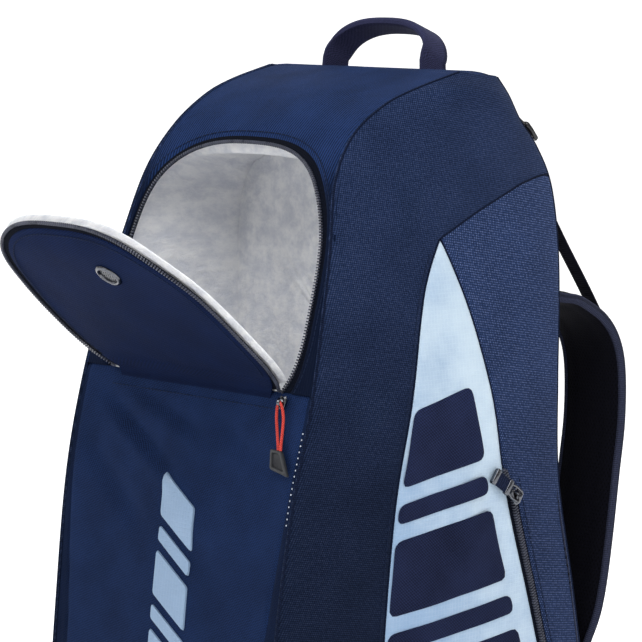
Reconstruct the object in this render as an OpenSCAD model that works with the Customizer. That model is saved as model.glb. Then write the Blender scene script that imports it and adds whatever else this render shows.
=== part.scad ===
// Racket backpack: a tall soft bag with a shoe compartment in its front, an
// accent panel and a zip in each side, a lid over the racket compartment in its
// back-top slope, a grab handle on the ridge and two shoulder straps.
// X is across the bag, -Y is its front, +Y is the wearer's back, +Z is up.
// The origin is the centre of the underside.

/* [Body] */
// Height of the ridge above the ground
bag_h = 750; // [700:5:800]
// Width across the front seams
bag_w = 278; // [262:2:294]
// Depth from the front to the back panel where the bag is deepest
bag_d = 354; // [330:2:380]
// Thickness of a side wall
side_wall = 3; // [2:0.5:4]
// Thickness of a front or top wall
front_wall = 4; // [3:0.5:5]
// Thickness of the padded back panel
back_wall = 10; // [6:1:14]

/* [Shoe compartment] */
// Half width of the flap at its zip
flap_half = 114; // [104:0.5:116]
// Height of the flap's fold above the ground
fold_z = 511; // [500:1:525]
// Angle that the flap stands open from its closed place
flap_open = 64; // [40:1:75]
// Depth of the compartment from the front wall to its back
shoe_back_y = 10; // [0:1:14]
// Outer radius of the vent eyelet
eyelet_r = 11; // [9:0.5:13]

/* [Racket lid] */
// Half width of the lid at its zip
lid_half = 92; // [86:1:94]

/* [Handle] */
// Width of the handle webbing
handle_w = 28; // [20:1:30]
// Rise of the handle above the ridge
handle_rise = 37; // [30:1:45]
// Lean of the handle towards the wearer's back
handle_lean = 22; // [0:1:30]

/* [Shoulder straps] */
// Distance of each strap's middle from the bag's middle
strap_x = 88; // [80:1:92]
// Width of a strap pad
pad_w = 62; // [54:1:66]
// Thickness of a strap pad
pad_t = 12; // [8:1:14]
// Width of the adjusting webbing
web_w = 25; // [20:1:30]

/* [Hidden] */
SIDES = ["right", "left"];

navy = [0.13, 0.18, 0.33];
navy_dark = [0.08, 0.11, 0.22];
light_blue = [0.62, 0.76, 0.9];
lining_grey = [0.84, 0.84, 0.88];
metal = [0.5, 0.51, 0.54];
black = [0.06, 0.06, 0.07];
red = [0.85, 0.25, 0.2];

gap = 0.3;        // between neighbouring panels
crown = 2.5;      // swell of the front and back panels
crown_reach = 80; // distance from a hinge over which the swell grows
zip_w = 6;        // half of a closed zip's width
web_t = 2;        // webbing thickness

// ---------------------------------------------------------------- the shell
// Levels from the ground up: front y and z, back y and z, half width at the
// seams, and how far the side wall swells out beyond them.
LEVELS = [
    [-132,   0,  136,   0, 114,   0],
    [-175,  36,  161,  36, 129,  10],
    [-184, 115,  170, 115, 133,  17],
    [-181, 215,  167, 215, 134,  20],
    [-171, 325,  149, 322, 135,  20],
    [-157, 425,  127, 420, 138,  20],
    [-139, 500,  124, 500, 139,  20],
    [-122, 565,  131, 562, 133,  18],
    [-107, 617,  137, 612, 125,  17],
    [ -92, 667,  140, 655, 114,  16],
    [ -68, 701,  130, 684, 108,  14],
    [ -36, 723,  110, 706, 109,  13],
    [  -4, 735,   94, 726, 112,  12],
    [  39, 746,   80, 741, 113,   0]];
TOP = len(LEVELS) - 1;
level_scale = [bag_d / 354, bag_h / 750, bag_d / 354, bag_h / 750, bag_w / 278, bag_w / 278];

function spline(a, b, c, d, f) =
    0.5 * (2*b + (c - a)*f + (2*a - 5*b + 4*c - d)*f*f + (3*b - a - 3*c + d)*f*f*f);
// The level values at height parameter t, from 0 at the base to TOP at the ridge
function level(t) =
    let (i = min(max(floor(t), 0), TOP - 1),
         p1 = LEVELS[i],
         p2 = LEVELS[i + 1],
         p0 = i > 0 ? LEVELS[i - 1] : 2*p1 - p2,
         p3 = i < TOP - 1 ? LEVELS[i + 2] : 2*p2 - p1,
         v = spline(p0, p1, p2, p3, t - i))
    [for (k = [0:5]) v[k] * level_scale[k]];

// The front (face 0) and back (face 1) outlines, as a table of arc length
// against t, counted from the fold of the flap or of the lid
STEP = 0.1;
TS = [for (i = [0:TOP / STEP]) i * STEP];
function outline(face) = [for (t = TS) let (v = level(t)) [v[2*face], v[2*face + 1]]];
function run(p) =
    [for (i = 0, c = 0; i < len(p);
          c = c + (i + 1 < len(p) ? norm(p[i + 1] - p[i]) : 0), i = i + 1) c];
LID_T = 9.3;
OUT = [outline(0), outline(1)];
RUN = [run(OUT[0]), run(OUT[1])];
FOLD_T = lookup(fold_z, [for (i = [0:len(TS) - 1]) [OUT[0][i][1], TS[i]]]);
ORIGIN_T = [FOLD_T, LID_T];
ZERO = [for (f = [0:1]) lookup(ORIGIN_T[f], [for (i = [0:len(TS) - 1]) [TS[i], RUN[f][i]]])];
T_OF_S = [for (f = [0:1]) [for (i = [0:len(TS) - 1]) [RUN[f][i] - ZERO[f], TS[i]]]];
S_BASE = [T_OF_S[0][0][0], T_OF_S[1][0][0]];
S_TOP = [T_OF_S[0][len(TS) - 1][0], T_OF_S[1][len(TS) - 1][0]];

function t_at(face, s) = lookup(s, T_OF_S[face]);
function edge_at(face, s) = let (v = level(t_at(face, s))) [v[2*face], v[2*face + 1]];
function half_at(face, s) = level(t_at(face, s))[4];
// Unit normal into the bag, in the YZ plane
function inward(face, s) =
    let (d = edge_at(face, s + 1) - edge_at(face, s - 1), u = d / norm(d))
    face == 0 ? [u[1], -u[0]] : [-u[1], u[0]];
// A point of the front or back wall: x across, s along the outline, depth inward
function wall_pt(face, x, s, depth) =
    let (p = edge_at(face, s),
         n = inward(face, s),
         u = x / half_at(face, s),
         swell = crown * pow(max(0, 1 - u*u), 2) * min(1, abs(s) / crown_reach),
         q = p + n * (depth - swell))
    [x, q[0], q[1]];

function mix(a, b, f) = a + (b - a) * f;
// A point of a side wall: t up the bag, s from the front seam to the back seam
function side_pt(t, s, depth) =
    let (v = level(t), b = 1 - pow(abs(2*s - 1), 2.4))
    [v[4] + v[5]*b - depth, mix(v[0], v[2], s), mix(v[1], v[3], s)];

// ------------------------------------------------------------ solid builders
// Triangles of an n by m grid of points whose first index is first
function grid_tris(n, m, first, flip) =
    [for (i = [0:n - 2]) for (j = [0:m - 2])
        let (a = first + i*m + j, b = a + 1, c = a + m + 1, d = a + m)
        each flip ? [[a, b, c], [a, c, d]] : [[a, c, b], [a, d, c]]];

// A sheet between two grids of points
module slab(outer, inner) {
    n = len(outer);
    m = len(outer[0]);
    i = floor(n / 2);
    j = floor(m / 2);
    facing = cross(outer[i][j] - outer[i - 1][j], outer[i][j] - outer[i][j - 1])
             * (outer[i][j] - inner[i][j]) < 0;
    rim = concat([for (j = [0:m - 1]) j],
                 [for (i = [1:n - 1]) i*m + m - 1],
                 [for (j = [m - 2:-1:0]) (n - 1)*m + j],
                 [for (i = [n - 2:-1:1]) i*m]);
    k = n * m;
    polyhedron(
        points = concat([for (r = outer) each r], [for (r = inner) each r]),
        faces = concat(
            grid_tris(n, m, 0, !facing),
            grid_tris(n, m, k, facing),
            [for (q = [0:len(rim) - 1])
                let (a = rim[q], b = rim[(q + 1) % len(rim)])
                each facing ? [[a, b, b + k], [a, b + k, a + k]]
                            : [[a, b + k, b], [a, a + k, b + k]]]));
}

// A solid through closed rings of equal length
module loft(rings) {
    n = len(rings);
    m = len(rings[0]);
    polyhedron(
        points = [for (r = rings) each r],
        faces = concat(
            [[for (j = [m - 1:-1:0]) j]],
            [[for (j = [0:m - 1]) (n - 1)*m + j]],
            [for (i = [0:n - 2]) for (j = [0:m - 1])
                let (a = i*m + j, b = i*m + (j + 1) % m, c = b + m, d = a + m)
                each [[a, b, c], [a, c, d]]]));
}

// A round tube along points
module tube(path, r, n = 8) {
    last = len(path) - 1;
    loft([for (i = [0:last])
        let (d = path[min(i + 1, last)] - path[max(i - 1, 0)],
             u = d / norm(d),
             side = cross(abs(u[0]) < 0.9 ? [1, 0, 0] : [0, 1, 0], u),
             a = side / norm(side),
             b = cross(u, a))
        [for (j = [0:n - 1]) path[i] + r*cos(-360*j/n)*a + r*sin(-360*j/n)*b]]);
}

// A flat band of the given width across X, along points [y, z]
module band(x, path, width, thick, round = false) {
    last = len(path) - 1;
    us = round ? [-1, -0.8, -0.4, 0, 0.4, 0.8, 1] : [-1, 1];
    rows = [for (i = [0:last])
        let (d = path[min(i + 1, last)] - path[max(i - 1, 0)],
             u = d / norm(d))
        [path[i], [-u[1], u[0]]]];
    function half(u) = thick/2 * (round ? 0.35 + 0.65*sqrt(1 - pow(abs(u), 3)*0.999) : 1);
    slab(
        [for (r = rows) [for (u = us)
            [x + u*width/2, r[0][0] + r[1][0]*half(u), r[0][1] + r[1][1]*half(u)]]],
        [for (r = rows) [for (u = us)
            [x + u*width/2, r[0][0] - r[1][0]*half(u), r[0][1] - r[1][1]*half(u)]]]);
}

function smooth_path(p, per) =
    let (n = len(p) - 1)
    concat([for (i = [0:n - 1]) for (k = [0:per - 1])
        let (p0 = i > 0 ? p[i - 1] : 2*p[0] - p[1],
             p3 = i < n - 1 ? p[i + 2] : 2*p[n] - p[n - 1])
        spline(p0, p[i], p[i + 1], p3, k / per)], [p[n]]);

// ------------------------------------------------------------------ openings
// An opening is a rounded arch: half width, centre, rise above and below it
ARCH_N = 2.8;
FLAP = [flap_half, 56, 132, 85];
LID = [lid_half, 30, 52, 45];
// Point k (0 to 1) round the arch, from its right foot to its left foot
function arch(shape, grow, k) =
    let (a = shape[0] + grow,
         up = shape[2] + grow,
         down = shape[3] + grow,
         foot = asin(pow(shape[1] / down, ARCH_N / 2)),
         phi = mix(-foot, 180 + foot, k),
         c = cos(phi),
         v = sin(phi))
    [a * sign(c) * pow(abs(c), 2 / ARCH_N),
     max(0, shape[1] + (v > 0 ? up : down) * sign(v) * pow(abs(v), 2 / ARCH_N))];
function arch_top(shape, grow) = shape[1] + shape[2] + grow;
// Half width of the arch at arc length s
function arch_half(shape, grow, s) =
    let (r = s > shape[1] ? shape[2] + grow : shape[3] + grow)
    (shape[0] + grow) * pow(max(0, 1 - pow(abs(s - shape[1]) / r, ARCH_N)), 1 / ARCH_N);

// The wall round an arch, out to the seams
ARCH_STEPS = 28;
module collar(face, shape, thick) {
    leg = 10;
    top = S_TOP[face];
    function border(i) =
        let (s = i <= leg ? top * i / leg
               : i >= ARCH_STEPS - leg ? top * (ARCH_STEPS - i) / leg : top,
             w = half_at(face, s) - side_wall - gap,
             f = i <= leg ? 1 : i >= ARCH_STEPS - leg ? -1
               : 1 - 2 * (i - leg) / (ARCH_STEPS - 2*leg))
        [f * w, s];
    function spot(i, f) = mix(arch(shape, zip_w, i / ARCH_STEPS), border(i), f);
    slab(
        [for (i = [0:ARCH_STEPS]) [for (f = [0, 0.5, 1])
            let (p = spot(i, f)) wall_pt(face, p[0], p[1], 0)]],
        [for (i = [0:ARCH_STEPS]) [for (f = [0, 0.5, 1])
            let (p = spot(i, f)) wall_pt(face, p[0], p[1], thick)]]);
}

// A strip that follows the arch between two offsets and two depths
module arch_strip(face, shape, g0, g1, d0, d1) {
    slab(
        [for (i = [0:ARCH_STEPS]) [for (g = [g0, g1])
            let (p = arch(shape, g, i / ARCH_STEPS)) wall_pt(face, p[0], p[1], d0)]],
        [for (i = [0:ARCH_STEPS]) [for (g = [g0, g1])
            let (p = arch(shape, g, i / ARCH_STEPS)) wall_pt(face, p[0], p[1], d1)]]);
}

// The sheet inside an arch; its feet are cut back beside the hinge
module arch_sheet(face, shape, grow, d0, d1, relief = 0) {
    rows = 12;
    top = arch_top(shape, grow);
    function s_row(i) = mix(gap, top - 0.4, sin(90 * i / rows));
    function half(i) = let (s = s_row(i), w = arch_half(shape, grow, s))
        s < relief ? min(w, arch_half(shape, grow, 0) - 4) : w;
    slab(
        [for (i = [0:rows]) [for (u = [-1:0.25:1])
            wall_pt(face, u * half(i), s_row(i), d0)]],
        [for (i = [0:rows]) [for (u = [-1:0.25:1])
            wall_pt(face, u * half(i), s_row(i), d1)]]);
}

// A front or back wall between two arc lengths
module wall(face, s0, s1, thick, rows, inset = 0, lift = 0) {
    function at(i, u, depth) =
        let (s = mix(s0, s1, i / rows), w = half_at(face, s) - side_wall - gap - inset)
        wall_pt(face, u * w, s, depth);
    slab(
        [for (i = [0:rows]) [for (u = [-1:0.25:1]) at(i, u, lift)]],
        [for (i = [0:rows]) [for (u = [-1:0.25:1]) at(i, u, lift + thick)]]);
}

// ------------------------------------------------------------- casing nodes
module base_panel() {
    base = level(0);
    x = base[4] - side_wall - gap;
    y0 = base[0] + 3.5;
    y1 = base[2] - 4.5;
    color(navy_dark) linear_extrude(3)
        polygon([[-x, y0], [x, y0], [x, y1], [-x, y1]]);
}

module front_panel() {
    color(navy) wall(0, S_BASE[0], -gap, front_wall, 13, 0.8);
}

module front_collar() {
    color(navy) collar(0, FLAP, front_wall);
}

module ridge_panel() {
    front = edge_at(0, S_TOP[0]);
    back = edge_at(1, S_TOP[1]);
    w = half_at(0, S_TOP[0]) - side_wall - gap;
    rise = 2.5;
    function at(v, u, drop) =
        let (p = mix(front, back, v)) [u * w, p[0], p[1] + rise*4*v*(1 - v) - drop];
    vs = [0.05, 0.25, 0.5, 0.7, 0.88];
    color(navy) slab(
        [for (v = vs) [for (u = [-1, -0.5, 0, 0.5, 1]) at(v, u, 0)]],
        [for (v = vs) [for (u = [-1, -0.5, 0, 0.5, 1]) at(v, u, front_wall)]]);
}

module back_panel() {
    color(navy_dark) wall(1, S_BASE[1], -gap, back_wall, 13);
}

module back_collar() {
    color(navy) collar(1, LID, front_wall);
}

// Stiff sheet that keeps the back panel's curve
module back_board() {
    color(black) wall(1, S_BASE[1] + 60, -34, 2, 13, 4, back_wall + 2);
}

// Padded board between the racket compartment and the front half
module divider_board() {
    half = 110;
    color(navy_dark) translate([-half, shoe_back_y + 8, 12])
        cube([2 * half, 6, 620]);
}

// Grey bag of the shoe compartment, open at the arch
module shoe_lining() {
    cloth = 1.5;
    steps = 28;
    foot = 20; // loop point of the mouth's left foot
    hem = 1.2; // how far the mouth stays inside the wall's edge
    deep = 12; // depth below the wall's face where the bag is widest
    function turn(j, a0, a1) = j < foot ? mix(a0, a1, j / foot)
        : mix(a1, a0 + 360, (j - foot) / (steps - foot));
    function mouth(j, inset, depth) =
        let (g = zip_w - hem - inset,
             w = arch(FLAP, g, 0)[0],
             p = j < foot ? arch(FLAP, g, j / foot)
                 : [mix(-w, w, (j - foot) / (steps - foot)), 0])
        wall_pt(0, p[0], max(p[1], inset + 0.6), depth);
    function wide(j, inset, depth) =
        let (phi = turn(j, -30, 210),
             c = cos(phi),
             v = sin(phi),
             x = (120 - inset) * sign(c) * sqrt(abs(c)),
             s = 54 + ((v > 0 ? 135 : 232) - inset) * sign(v) * sqrt(abs(v)))
        wall_pt(0, x, s, depth);
    function rings(inset, mouth_depth, depth, back) = [
        [for (j = [0:steps - 1]) mouth(j, inset, mouth_depth)],
        [for (j = [0:steps - 1]) wide(j, inset, depth)],
        [for (j = [0:steps - 1]) let (q = wide(j, inset, depth)) [q[0], back, q[2]]]];
    inner = rings(cloth, front_wall + 0.5, deep + cloth, shoe_back_y - cloth);
    color(lining_grey) difference() {
        loft(rings(0, front_wall + 0.5, deep, shoe_back_y));
        loft(concat([[for (p = inner[0]) p - [0, 20, 0]]], inner));
    }
}

// ---------------------------------------------------------------- side walls
// Edges of the accent panel and of the rear panel, as [t, s] from the base up
ACCENT_FRONT = [[0, 0.27], [2, 0.27], [4, 0.293], [5, 0.31], [6, 0.326],
                [7, 0.335], [7.6, 0.35], [8.1, 0.39]];
ACCENT_REAR = [[0, 0.86], [1.5, 0.865], [2.2, 0.86], [3, 0.845], [3.9, 0.8],
               [4.7, 0.745], [5.3, 0.71], [5.8, 0.668], [7, 0.537], [7.6, 0.464], [8.1, 0.405]];
REAR_FRONT = [[0, 0.865], [1.5, 0.87], [2, 0.9], [3, 0.895], [3.9, 0.848],
              [4.7, 0.8], [5.3, 0.745], [5.8, 0.675], [7, 0.543], [7.6, 0.47], [8.1, 0.411],
              [8.5, 0.57], [9, 0.82], [9.15, 0.96]];
YOKE = [[8.14, 0.4], [8.5, 0.56], [9, 0.81], [9.2, 1]];
UPPER_REAR = concat([for (p = ACCENT_FRONT) [p[0], p[1] - 0.006]], YOKE, [[TOP, 1]]);
ZIP_TS = [for (i = [0:9]) mix(1.75, 5.2, i / 9)];

module side_sheet(ts, left, right, cols, d0, d1) {
    function at(t, f, depth) = side_pt(t, mix(lookup(t, left), lookup(t, right), f), depth);
    slab(
        [for (t = ts) [for (j = [0:cols]) at(t, j / cols, d0)]],
        [for (t = ts) [for (j = [0:cols]) at(t, j / cols, d1)]]);
}

module side_upper() {
    ts = [0, 0.5, 1, 2, 3, 4, 5, 6, 7, 7.6, 8.1, 8.5, 9, 9.5, 10, 10.6, 11.2, 11.8, 12.4, 13];
    color(navy) side_sheet(ts, [[0, 0], [TOP, 0]], UPPER_REAR, 6, 0, side_wall);
}

module side_accent() {
    ts = [0, 0.5, 1, 1.5, 2.2, 3, 3.9, 4.7, 5.3, 5.8, 6.4, 7, 7.6, 8.1];
    color(light_blue) side_sheet(ts, ACCENT_FRONT, ACCENT_REAR, 6, 0, side_wall);
}

module side_rear() {
    ts = [0, 0.5, 1, 1.5, 2, 3, 3.9, 4.7, 5.3, 5.8, 6.4, 7, 7.6, 8.1, 8.5, 9, 9.15];
    color(navy) side_sheet(ts, REAR_FRONT, [[0, 1], [TOP, 1]], 4, 0, side_wall);
}

function zip_edge(f) = [for (t = ZIP_TS)
    [t, mix(lookup(t, ACCENT_REAR), lookup(t, REAR_FRONT), f)]];

module side_tape() {
    color(navy_dark) side_sheet(ZIP_TS, zip_edge(0.08), zip_edge(0.92), 1, 0.8, 1.8);
}

module side_teeth() {
    color(navy_dark) side_sheet(ZIP_TS, zip_edge(0.34), zip_edge(0.66), 1, -0.8, 0.7);
}

// --------------------------------------------------------- shoe compartment
FOLD = edge_at(0, 0);
module opened() {
    translate([0, FOLD[0], FOLD[1]]) rotate([flap_open, 0, 0])
        translate([0, -FOLD[0], -FOLD[1]]) children();
}

module collar_zip() {
    color(navy_dark) arch_strip(0, FLAP, 0.3, zip_w - 0.3, -0.6, 1.6);
}

RELIEF = 12;
flap_t = 3;
// Where the vent eyelet sits on the flap: across, and up from the fold
EYELET = [27, 138];
module at_eyelet() {
    p = wall_pt(0, EYELET[0], EYELET[1], 0);
    n = inward(0, EYELET[1]);
    opened() translate(p) rotate([atan2(n[1], n[0]) - 90, 0, 0]) rotate([180, 0, 0]) children();
}

module flap_zip() {
    color(navy_dark) difference() {
        opened() arch_strip(0, FLAP, -0.3, 0.3 - zip_w, -0.6, 1.6);
        translate([0, FOLD[0], FOLD[1]]) rotate([flap_open, 0, 0])
            translate([-150, -30, -30]) cube([300, 60, 30 + RELIEF]);
    }
}

module flap_outer() {
    color(navy) difference() {
        opened() arch_sheet(0, FLAP, -zip_w, 0, flap_t, RELIEF);
        at_eyelet() cylinder(r = eyelet_r - 3, h = 30, center = true, $fn = 48);
    }
}

module flap_lining() {
    color(lining_grey) difference() {
        opened() arch_sheet(0, FLAP, 1 - zip_w, flap_t + 0.2, flap_t + 1.4, RELIEF);
        at_eyelet() cylinder(r = eyelet_r - 3, h = 30, center = true, $fn = 48);
    }
}

module vent_eyelet() {
    barrel = eyelet_r - 3.2;
    color(metal) at_eyelet() difference() {
        union() {
            translate([0, 0, 0.6]) cylinder(r = eyelet_r, h = 1, $fn = 48);
            translate([0, 0, -5]) cylinder(r = barrel, h = 6, $fn = 48);
        }
        translate([0, 0, -6]) cylinder(r = barrel - 1.2, h = 12, $fn = 48);
    }
}

module vent_mesh() {
    r = eyelet_r - 4.5;
    pitch = 2.2;
    color(metal) at_eyelet() translate([0, 0, -0.6]) difference() {
        cylinder(r = r, h = 0.8, $fn = 40);
        for (i = [-2:2]) for (j = [-2:2])
            if (norm([i, j]) < 2.4)
                translate([i * pitch, j * pitch, -1]) cylinder(r = 0.7, h = 3, $fn = 16);
    }
}

// ------------------------------------------------------------------- sliders
// A zip slider: plate on the teeth, and a bar on two posts for the pull's eye
bar_r = 0.9;
bar_h = 5.4;
module slider(len = 12, w = 9) {
    color(metal) {
        translate([-w/2, -len/2, 1]) cube([w, len, 1.8]);
        translate([-w/2 + 1.5, -len/2 + 1, 0.4]) cube([w - 3, len - 2, 0.7]);
        for (x = [-3.6, 2.8])
            translate([x, -1.2, 2.5]) cube([0.8, 2.4, bar_h - 2.5 + bar_r]);
        translate([-3.4, 0, bar_h]) rotate([0, 90, 0]) cylinder(r = bar_r, h = 6.8, $fn = 24);
    }
}
module pull_eye() {
    translate([-2.4, 0, bar_h]) rotate([0, 90, 0]) difference() {
        cylinder(r = 2, h = 4.8, $fn = 32);
        translate([0, 0, -1]) cylinder(r = bar_r + 0.08, h = 8, $fn = 32);
    }
}

// Frames whose +Z leaves the fabric and whose +Y runs up the zip
SHOE_SPOT = [107.5, -8];
module at_shoe_slider() {
    p = wall_pt(0, SHOE_SPOT[0], SHOE_SPOT[1], -0.8);
    n = inward(0, SHOE_SPOT[1]);
    translate(p) rotate([atan2(n[1], n[0]) + 90, 0, 0]) children();
}
LID_SPOT = [lid_half + 1.3, 52];
module at_lid_slider() {
    p = wall_pt(1, LID_SPOT[0], LID_SPOT[1], -2.1);
    n = -inward(1, LID_SPOT[1]);
    translate(p) rotate([0, 0, 180]) rotate([90 - atan2(n[1], n[0]), 0, 0]) children();
}
SIDE_T = 4.95;
SIDE_DIR = side_pt(2.6, 0.878, 0) - side_pt(SIDE_T, 0.752, 0);
side_lean = atan2(SIDE_DIR[1], -SIDE_DIR[2]);
module at_side_slider() {
    translate(side_pt(SIDE_T, 0.752, -2.2)) rotate([side_lean, 0, 0]) rotate([0, 90, 0])
        rotate([0, 0, 90]) children();
}

module shoe_slider() {
    at_shoe_slider() slider();
}

cord_len = 38;
pull_hang = 12; // turn of the hanging pull in the wall's plane
module shoe_pull_cord() {
    color(red) at_shoe_slider() {
        pull_eye();
        for (m = [-1, 1]) rotate([0, 0, pull_hang])
            tube(smooth_path([[m*1.2, -1.6, bar_h - 0.6], [m*2.4, -5, bar_h - 0.8],
                              [m*4, -12, 4], [m*3.4, -24, 3.4], [m*1.9, -cord_len, 3.2]], 3), 1.15);
    }
}

module shoe_pull_tip() {
    tip = 19;
    color(black) at_shoe_slider() rotate([0, 0, pull_hang])
            translate([0, -cord_len - 0.2, 1.4]) difference() {
        linear_extrude(4) polygon([[-4, 0], [4, 0], [9, -8], [3, -tip], [-5, -tip], [-9, -13]]);
        translate([0, 0, -1]) linear_extrude(6) polygon([[-3, -6], [3, -5], [4, -10], [-3.5, -11]]);
    }
}

module side_slider() {
    at_side_slider() slider(14, 10);
}

pull_turn = 38;
module side_pull_link() {
    color(metal) at_side_slider() {
        pull_eye();
        translate([0, 0, bar_h]) rotate([0, 0, pull_turn]) difference() {
            translate([-4, 1.2, -0.6]) cube([8, 12, 1.2]);
            translate([-2.4, 3.2, -2]) cube([4.8, 7.4, 4]);
            rotate([0, 0, -pull_turn]) translate([-5, -3, -3]) cube([10, 5.2, 6]);
        }
    }
}

module side_pull_tab() {
    color(navy_dark) at_side_slider() translate([0, 0, bar_h]) rotate([0, 0, pull_turn])
        translate([-6, 13.3, -1.4]) cube([12, 17, 2.8]);
}

// ---------------------------------------------------------------- racket lid
module lid() {
    color(navy) arch_sheet(1, LID, -zip_w, 0, flap_t);
}
module lid_zip() {
    color(navy_dark) arch_strip(1, LID, 0.3, zip_w - 0.3, -0.6, 1.6);
}
module lid_slider() {
    at_lid_slider() slider(11, 8);
}
module lid_pull() {
    color(black) at_lid_slider() {
        pull_eye();
        translate([-2.2, -16, bar_h - 2.6]) cube([4.4, 14.4, 2]);
        translate([-4, -34, bar_h - 3]) cube([8, 18.2, 3]);
    }
}

// -------------------------------------------------------------------- handle
HANDLE_Y = 62;
HANDLE_Z = 748;
handle_half = 55;
leg_z = 16;
module handle() {
    n = 16;
    function arc(k, r) =
        let (a = 180 * k / n) [(handle_half - r) * sign(cos(a)) * pow(abs(cos(a)), 0.62),
                               leg_z + (handle_rise - leg_z - r) * pow(sin(a), 0.75)];
    color(navy) translate([0, HANDLE_Y, HANDLE_Z]) rotate([90 - handle_lean, 0, 0])
        translate([0, 0, -handle_w/2]) linear_extrude(handle_w)
        polygon(concat([for (k = [0:n]) arc(k, 0)], [for (k = [n:-1:0]) arc(k, 2.4)]));
}
module handle_anchor() {
    color(navy) translate([57, HANDLE_Y - handle_w/2 + 1, HANDLE_Z + 2])
        cube([web_t + 0.5, handle_w - 2, leg_z]);
}

// ----------------------------------------------------------- shoulder straps
// The strap's middle line, [y, z], from the top of the pad to its foot
PAD_PATH = [[152, 562], [163, 560.5], [175, 556], [198, 542], [213, 523], [220, 497], [220, 455],
            [214, 412], [207, 362], [200, 322], [192, 292], [185, 264]];
LIFT_TOP = [148.5, 652];
WEB_FOOT = [176, 142];
module strap_root() {
    p = wall_pt(1, strap_x, -95, 0);
    color(navy_dark) translate([strap_x - pad_w/2, p[1] + 1.8, p[2] - 7]) cube([pad_w, 5, 14]);
}
module strap_pad() {
    color(black) band(strap_x, smooth_path(PAD_PATH, 2), pad_w, pad_t, round = true);
}
module load_lifter() {
    color(navy) band(strap_x, smooth_path([LIFT_TOP, [176, 607], [205, 566], [223.5, 536.5]], 2), 14, 1.6);
}
module lifter_anchor() {
    p = wall_pt(1, strap_x, -8, 0);
    color(navy) translate([strap_x - 10, p[1] + 0.7, p[2] - 14]) cube([20, 2.5, 18]);
}
module ladder_lock() {
    color(black) translate([strap_x, 184.3, 250]) rotate([-2, 0, 0]) difference() {
        translate([-16, -2.5, -13]) cube([32, 5, 24]);
        translate([-13, -4, -9]) cube([26, 8, 4.5]);
        translate([-13, -4, 1]) cube([26, 8, 4.5]);
    }
}
module strap_webbing() {
    color(navy) band(strap_x, smooth_path([[183.5, 236.2], [183.2, 215], [181, 180], WEB_FOOT], 2), web_w, 1.6);
}
module strap_anchor() {
    p = wall_pt(1, strap_x, S_BASE[1] + 122, 0);
    color(navy) translate([strap_x - 16, p[1] + 1, p[2] - 18]) cube([32, 2.5, 24]);
}

// --------------------------------------------------------------------- build
module on_side(s) {
    mirror([s == "left" ? 1 : 0, 0, 0]) children();
}

base_panel();
front_panel();
front_collar();
ridge_panel();
back_panel();
back_collar();
back_board();
divider_board();
shoe_lining();
collar_zip();
flap_zip();
flap_outer();
flap_lining();
vent_eyelet();
vent_mesh();
shoe_slider();
shoe_pull_cord();
shoe_pull_tip();
lid();
lid_zip();
lid_slider();
lid_pull();
handle();
for (s = SIDES) on_side(s) {
    side_upper();
    side_accent();
    side_rear();
    side_tape();
    side_teeth();
    side_slider();
    side_pull_link();
    side_pull_tab();
    handle_anchor();
    strap_root();
    strap_pad();
    load_lifter();
    lifter_anchor();
    ladder_lock();
    strap_webbing();
    strap_anchor();
}
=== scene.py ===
"""Racket backpack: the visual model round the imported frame.

Shapes are worked out in millimetres and turned into metres when a mesh is made.
X is across the bag, -Y its front, +Y the wearer's back, +Z up.
"""
import math

import bpy
import numpy as np
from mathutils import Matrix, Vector


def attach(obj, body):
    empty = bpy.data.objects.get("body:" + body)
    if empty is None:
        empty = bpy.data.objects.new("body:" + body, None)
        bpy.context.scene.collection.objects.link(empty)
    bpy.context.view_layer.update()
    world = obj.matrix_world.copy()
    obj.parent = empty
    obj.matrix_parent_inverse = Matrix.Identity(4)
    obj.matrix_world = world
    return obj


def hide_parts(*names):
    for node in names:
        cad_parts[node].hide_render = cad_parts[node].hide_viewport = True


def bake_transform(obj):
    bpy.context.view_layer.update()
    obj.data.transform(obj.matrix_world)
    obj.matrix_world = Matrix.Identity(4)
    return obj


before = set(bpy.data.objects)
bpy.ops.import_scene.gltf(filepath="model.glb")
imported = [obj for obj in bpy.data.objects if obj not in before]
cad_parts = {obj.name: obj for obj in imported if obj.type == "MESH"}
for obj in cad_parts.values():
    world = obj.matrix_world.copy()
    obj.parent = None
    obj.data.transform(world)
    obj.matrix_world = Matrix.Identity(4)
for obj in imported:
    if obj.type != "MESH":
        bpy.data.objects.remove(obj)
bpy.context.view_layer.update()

MM = 0.001
HANDS = (("right", 1), ("left", -1))

# ------------------------------------------------------------------- camera
CAMERA_TURN = math.radians(48)  # from straight in front towards the bag's +X side
CAMERA_BACK = 2540  # from the bag's axis, level
CAMERA_Z = 840
AIM_Z = 545
CAMERA_SIDE = -4  # sideways, to the camera's right
LENS = 179.2


def camera_axes():
    """Level directions to the camera's right and straight ahead of it."""
    c, s = math.cos(CAMERA_TURN), math.sin(CAMERA_TURN)
    return np.array([c, s, 0]), np.array([-s, c, 0])


def make_camera():
    right, ahead = camera_axes()
    eye = -ahead * CAMERA_BACK + right * CAMERA_SIDE + [0, 0, CAMERA_Z]
    aim = right * CAMERA_SIDE + [0, 0, AIM_Z]
    data = bpy.data.cameras.new("camera")
    data.lens = LENS
    data.sensor_width = 36
    cam = bpy.data.objects.new("camera", data)
    bpy.context.scene.collection.objects.link(cam)
    cam.location = Vector(eye * MM)
    cam.rotation_mode = "QUATERNION"
    cam.rotation_quaternion = Vector(aim - eye).to_track_quat("-Z", "Y")
    data.clip_end = 40
    bpy.context.scene.camera = cam


make_camera()

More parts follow.
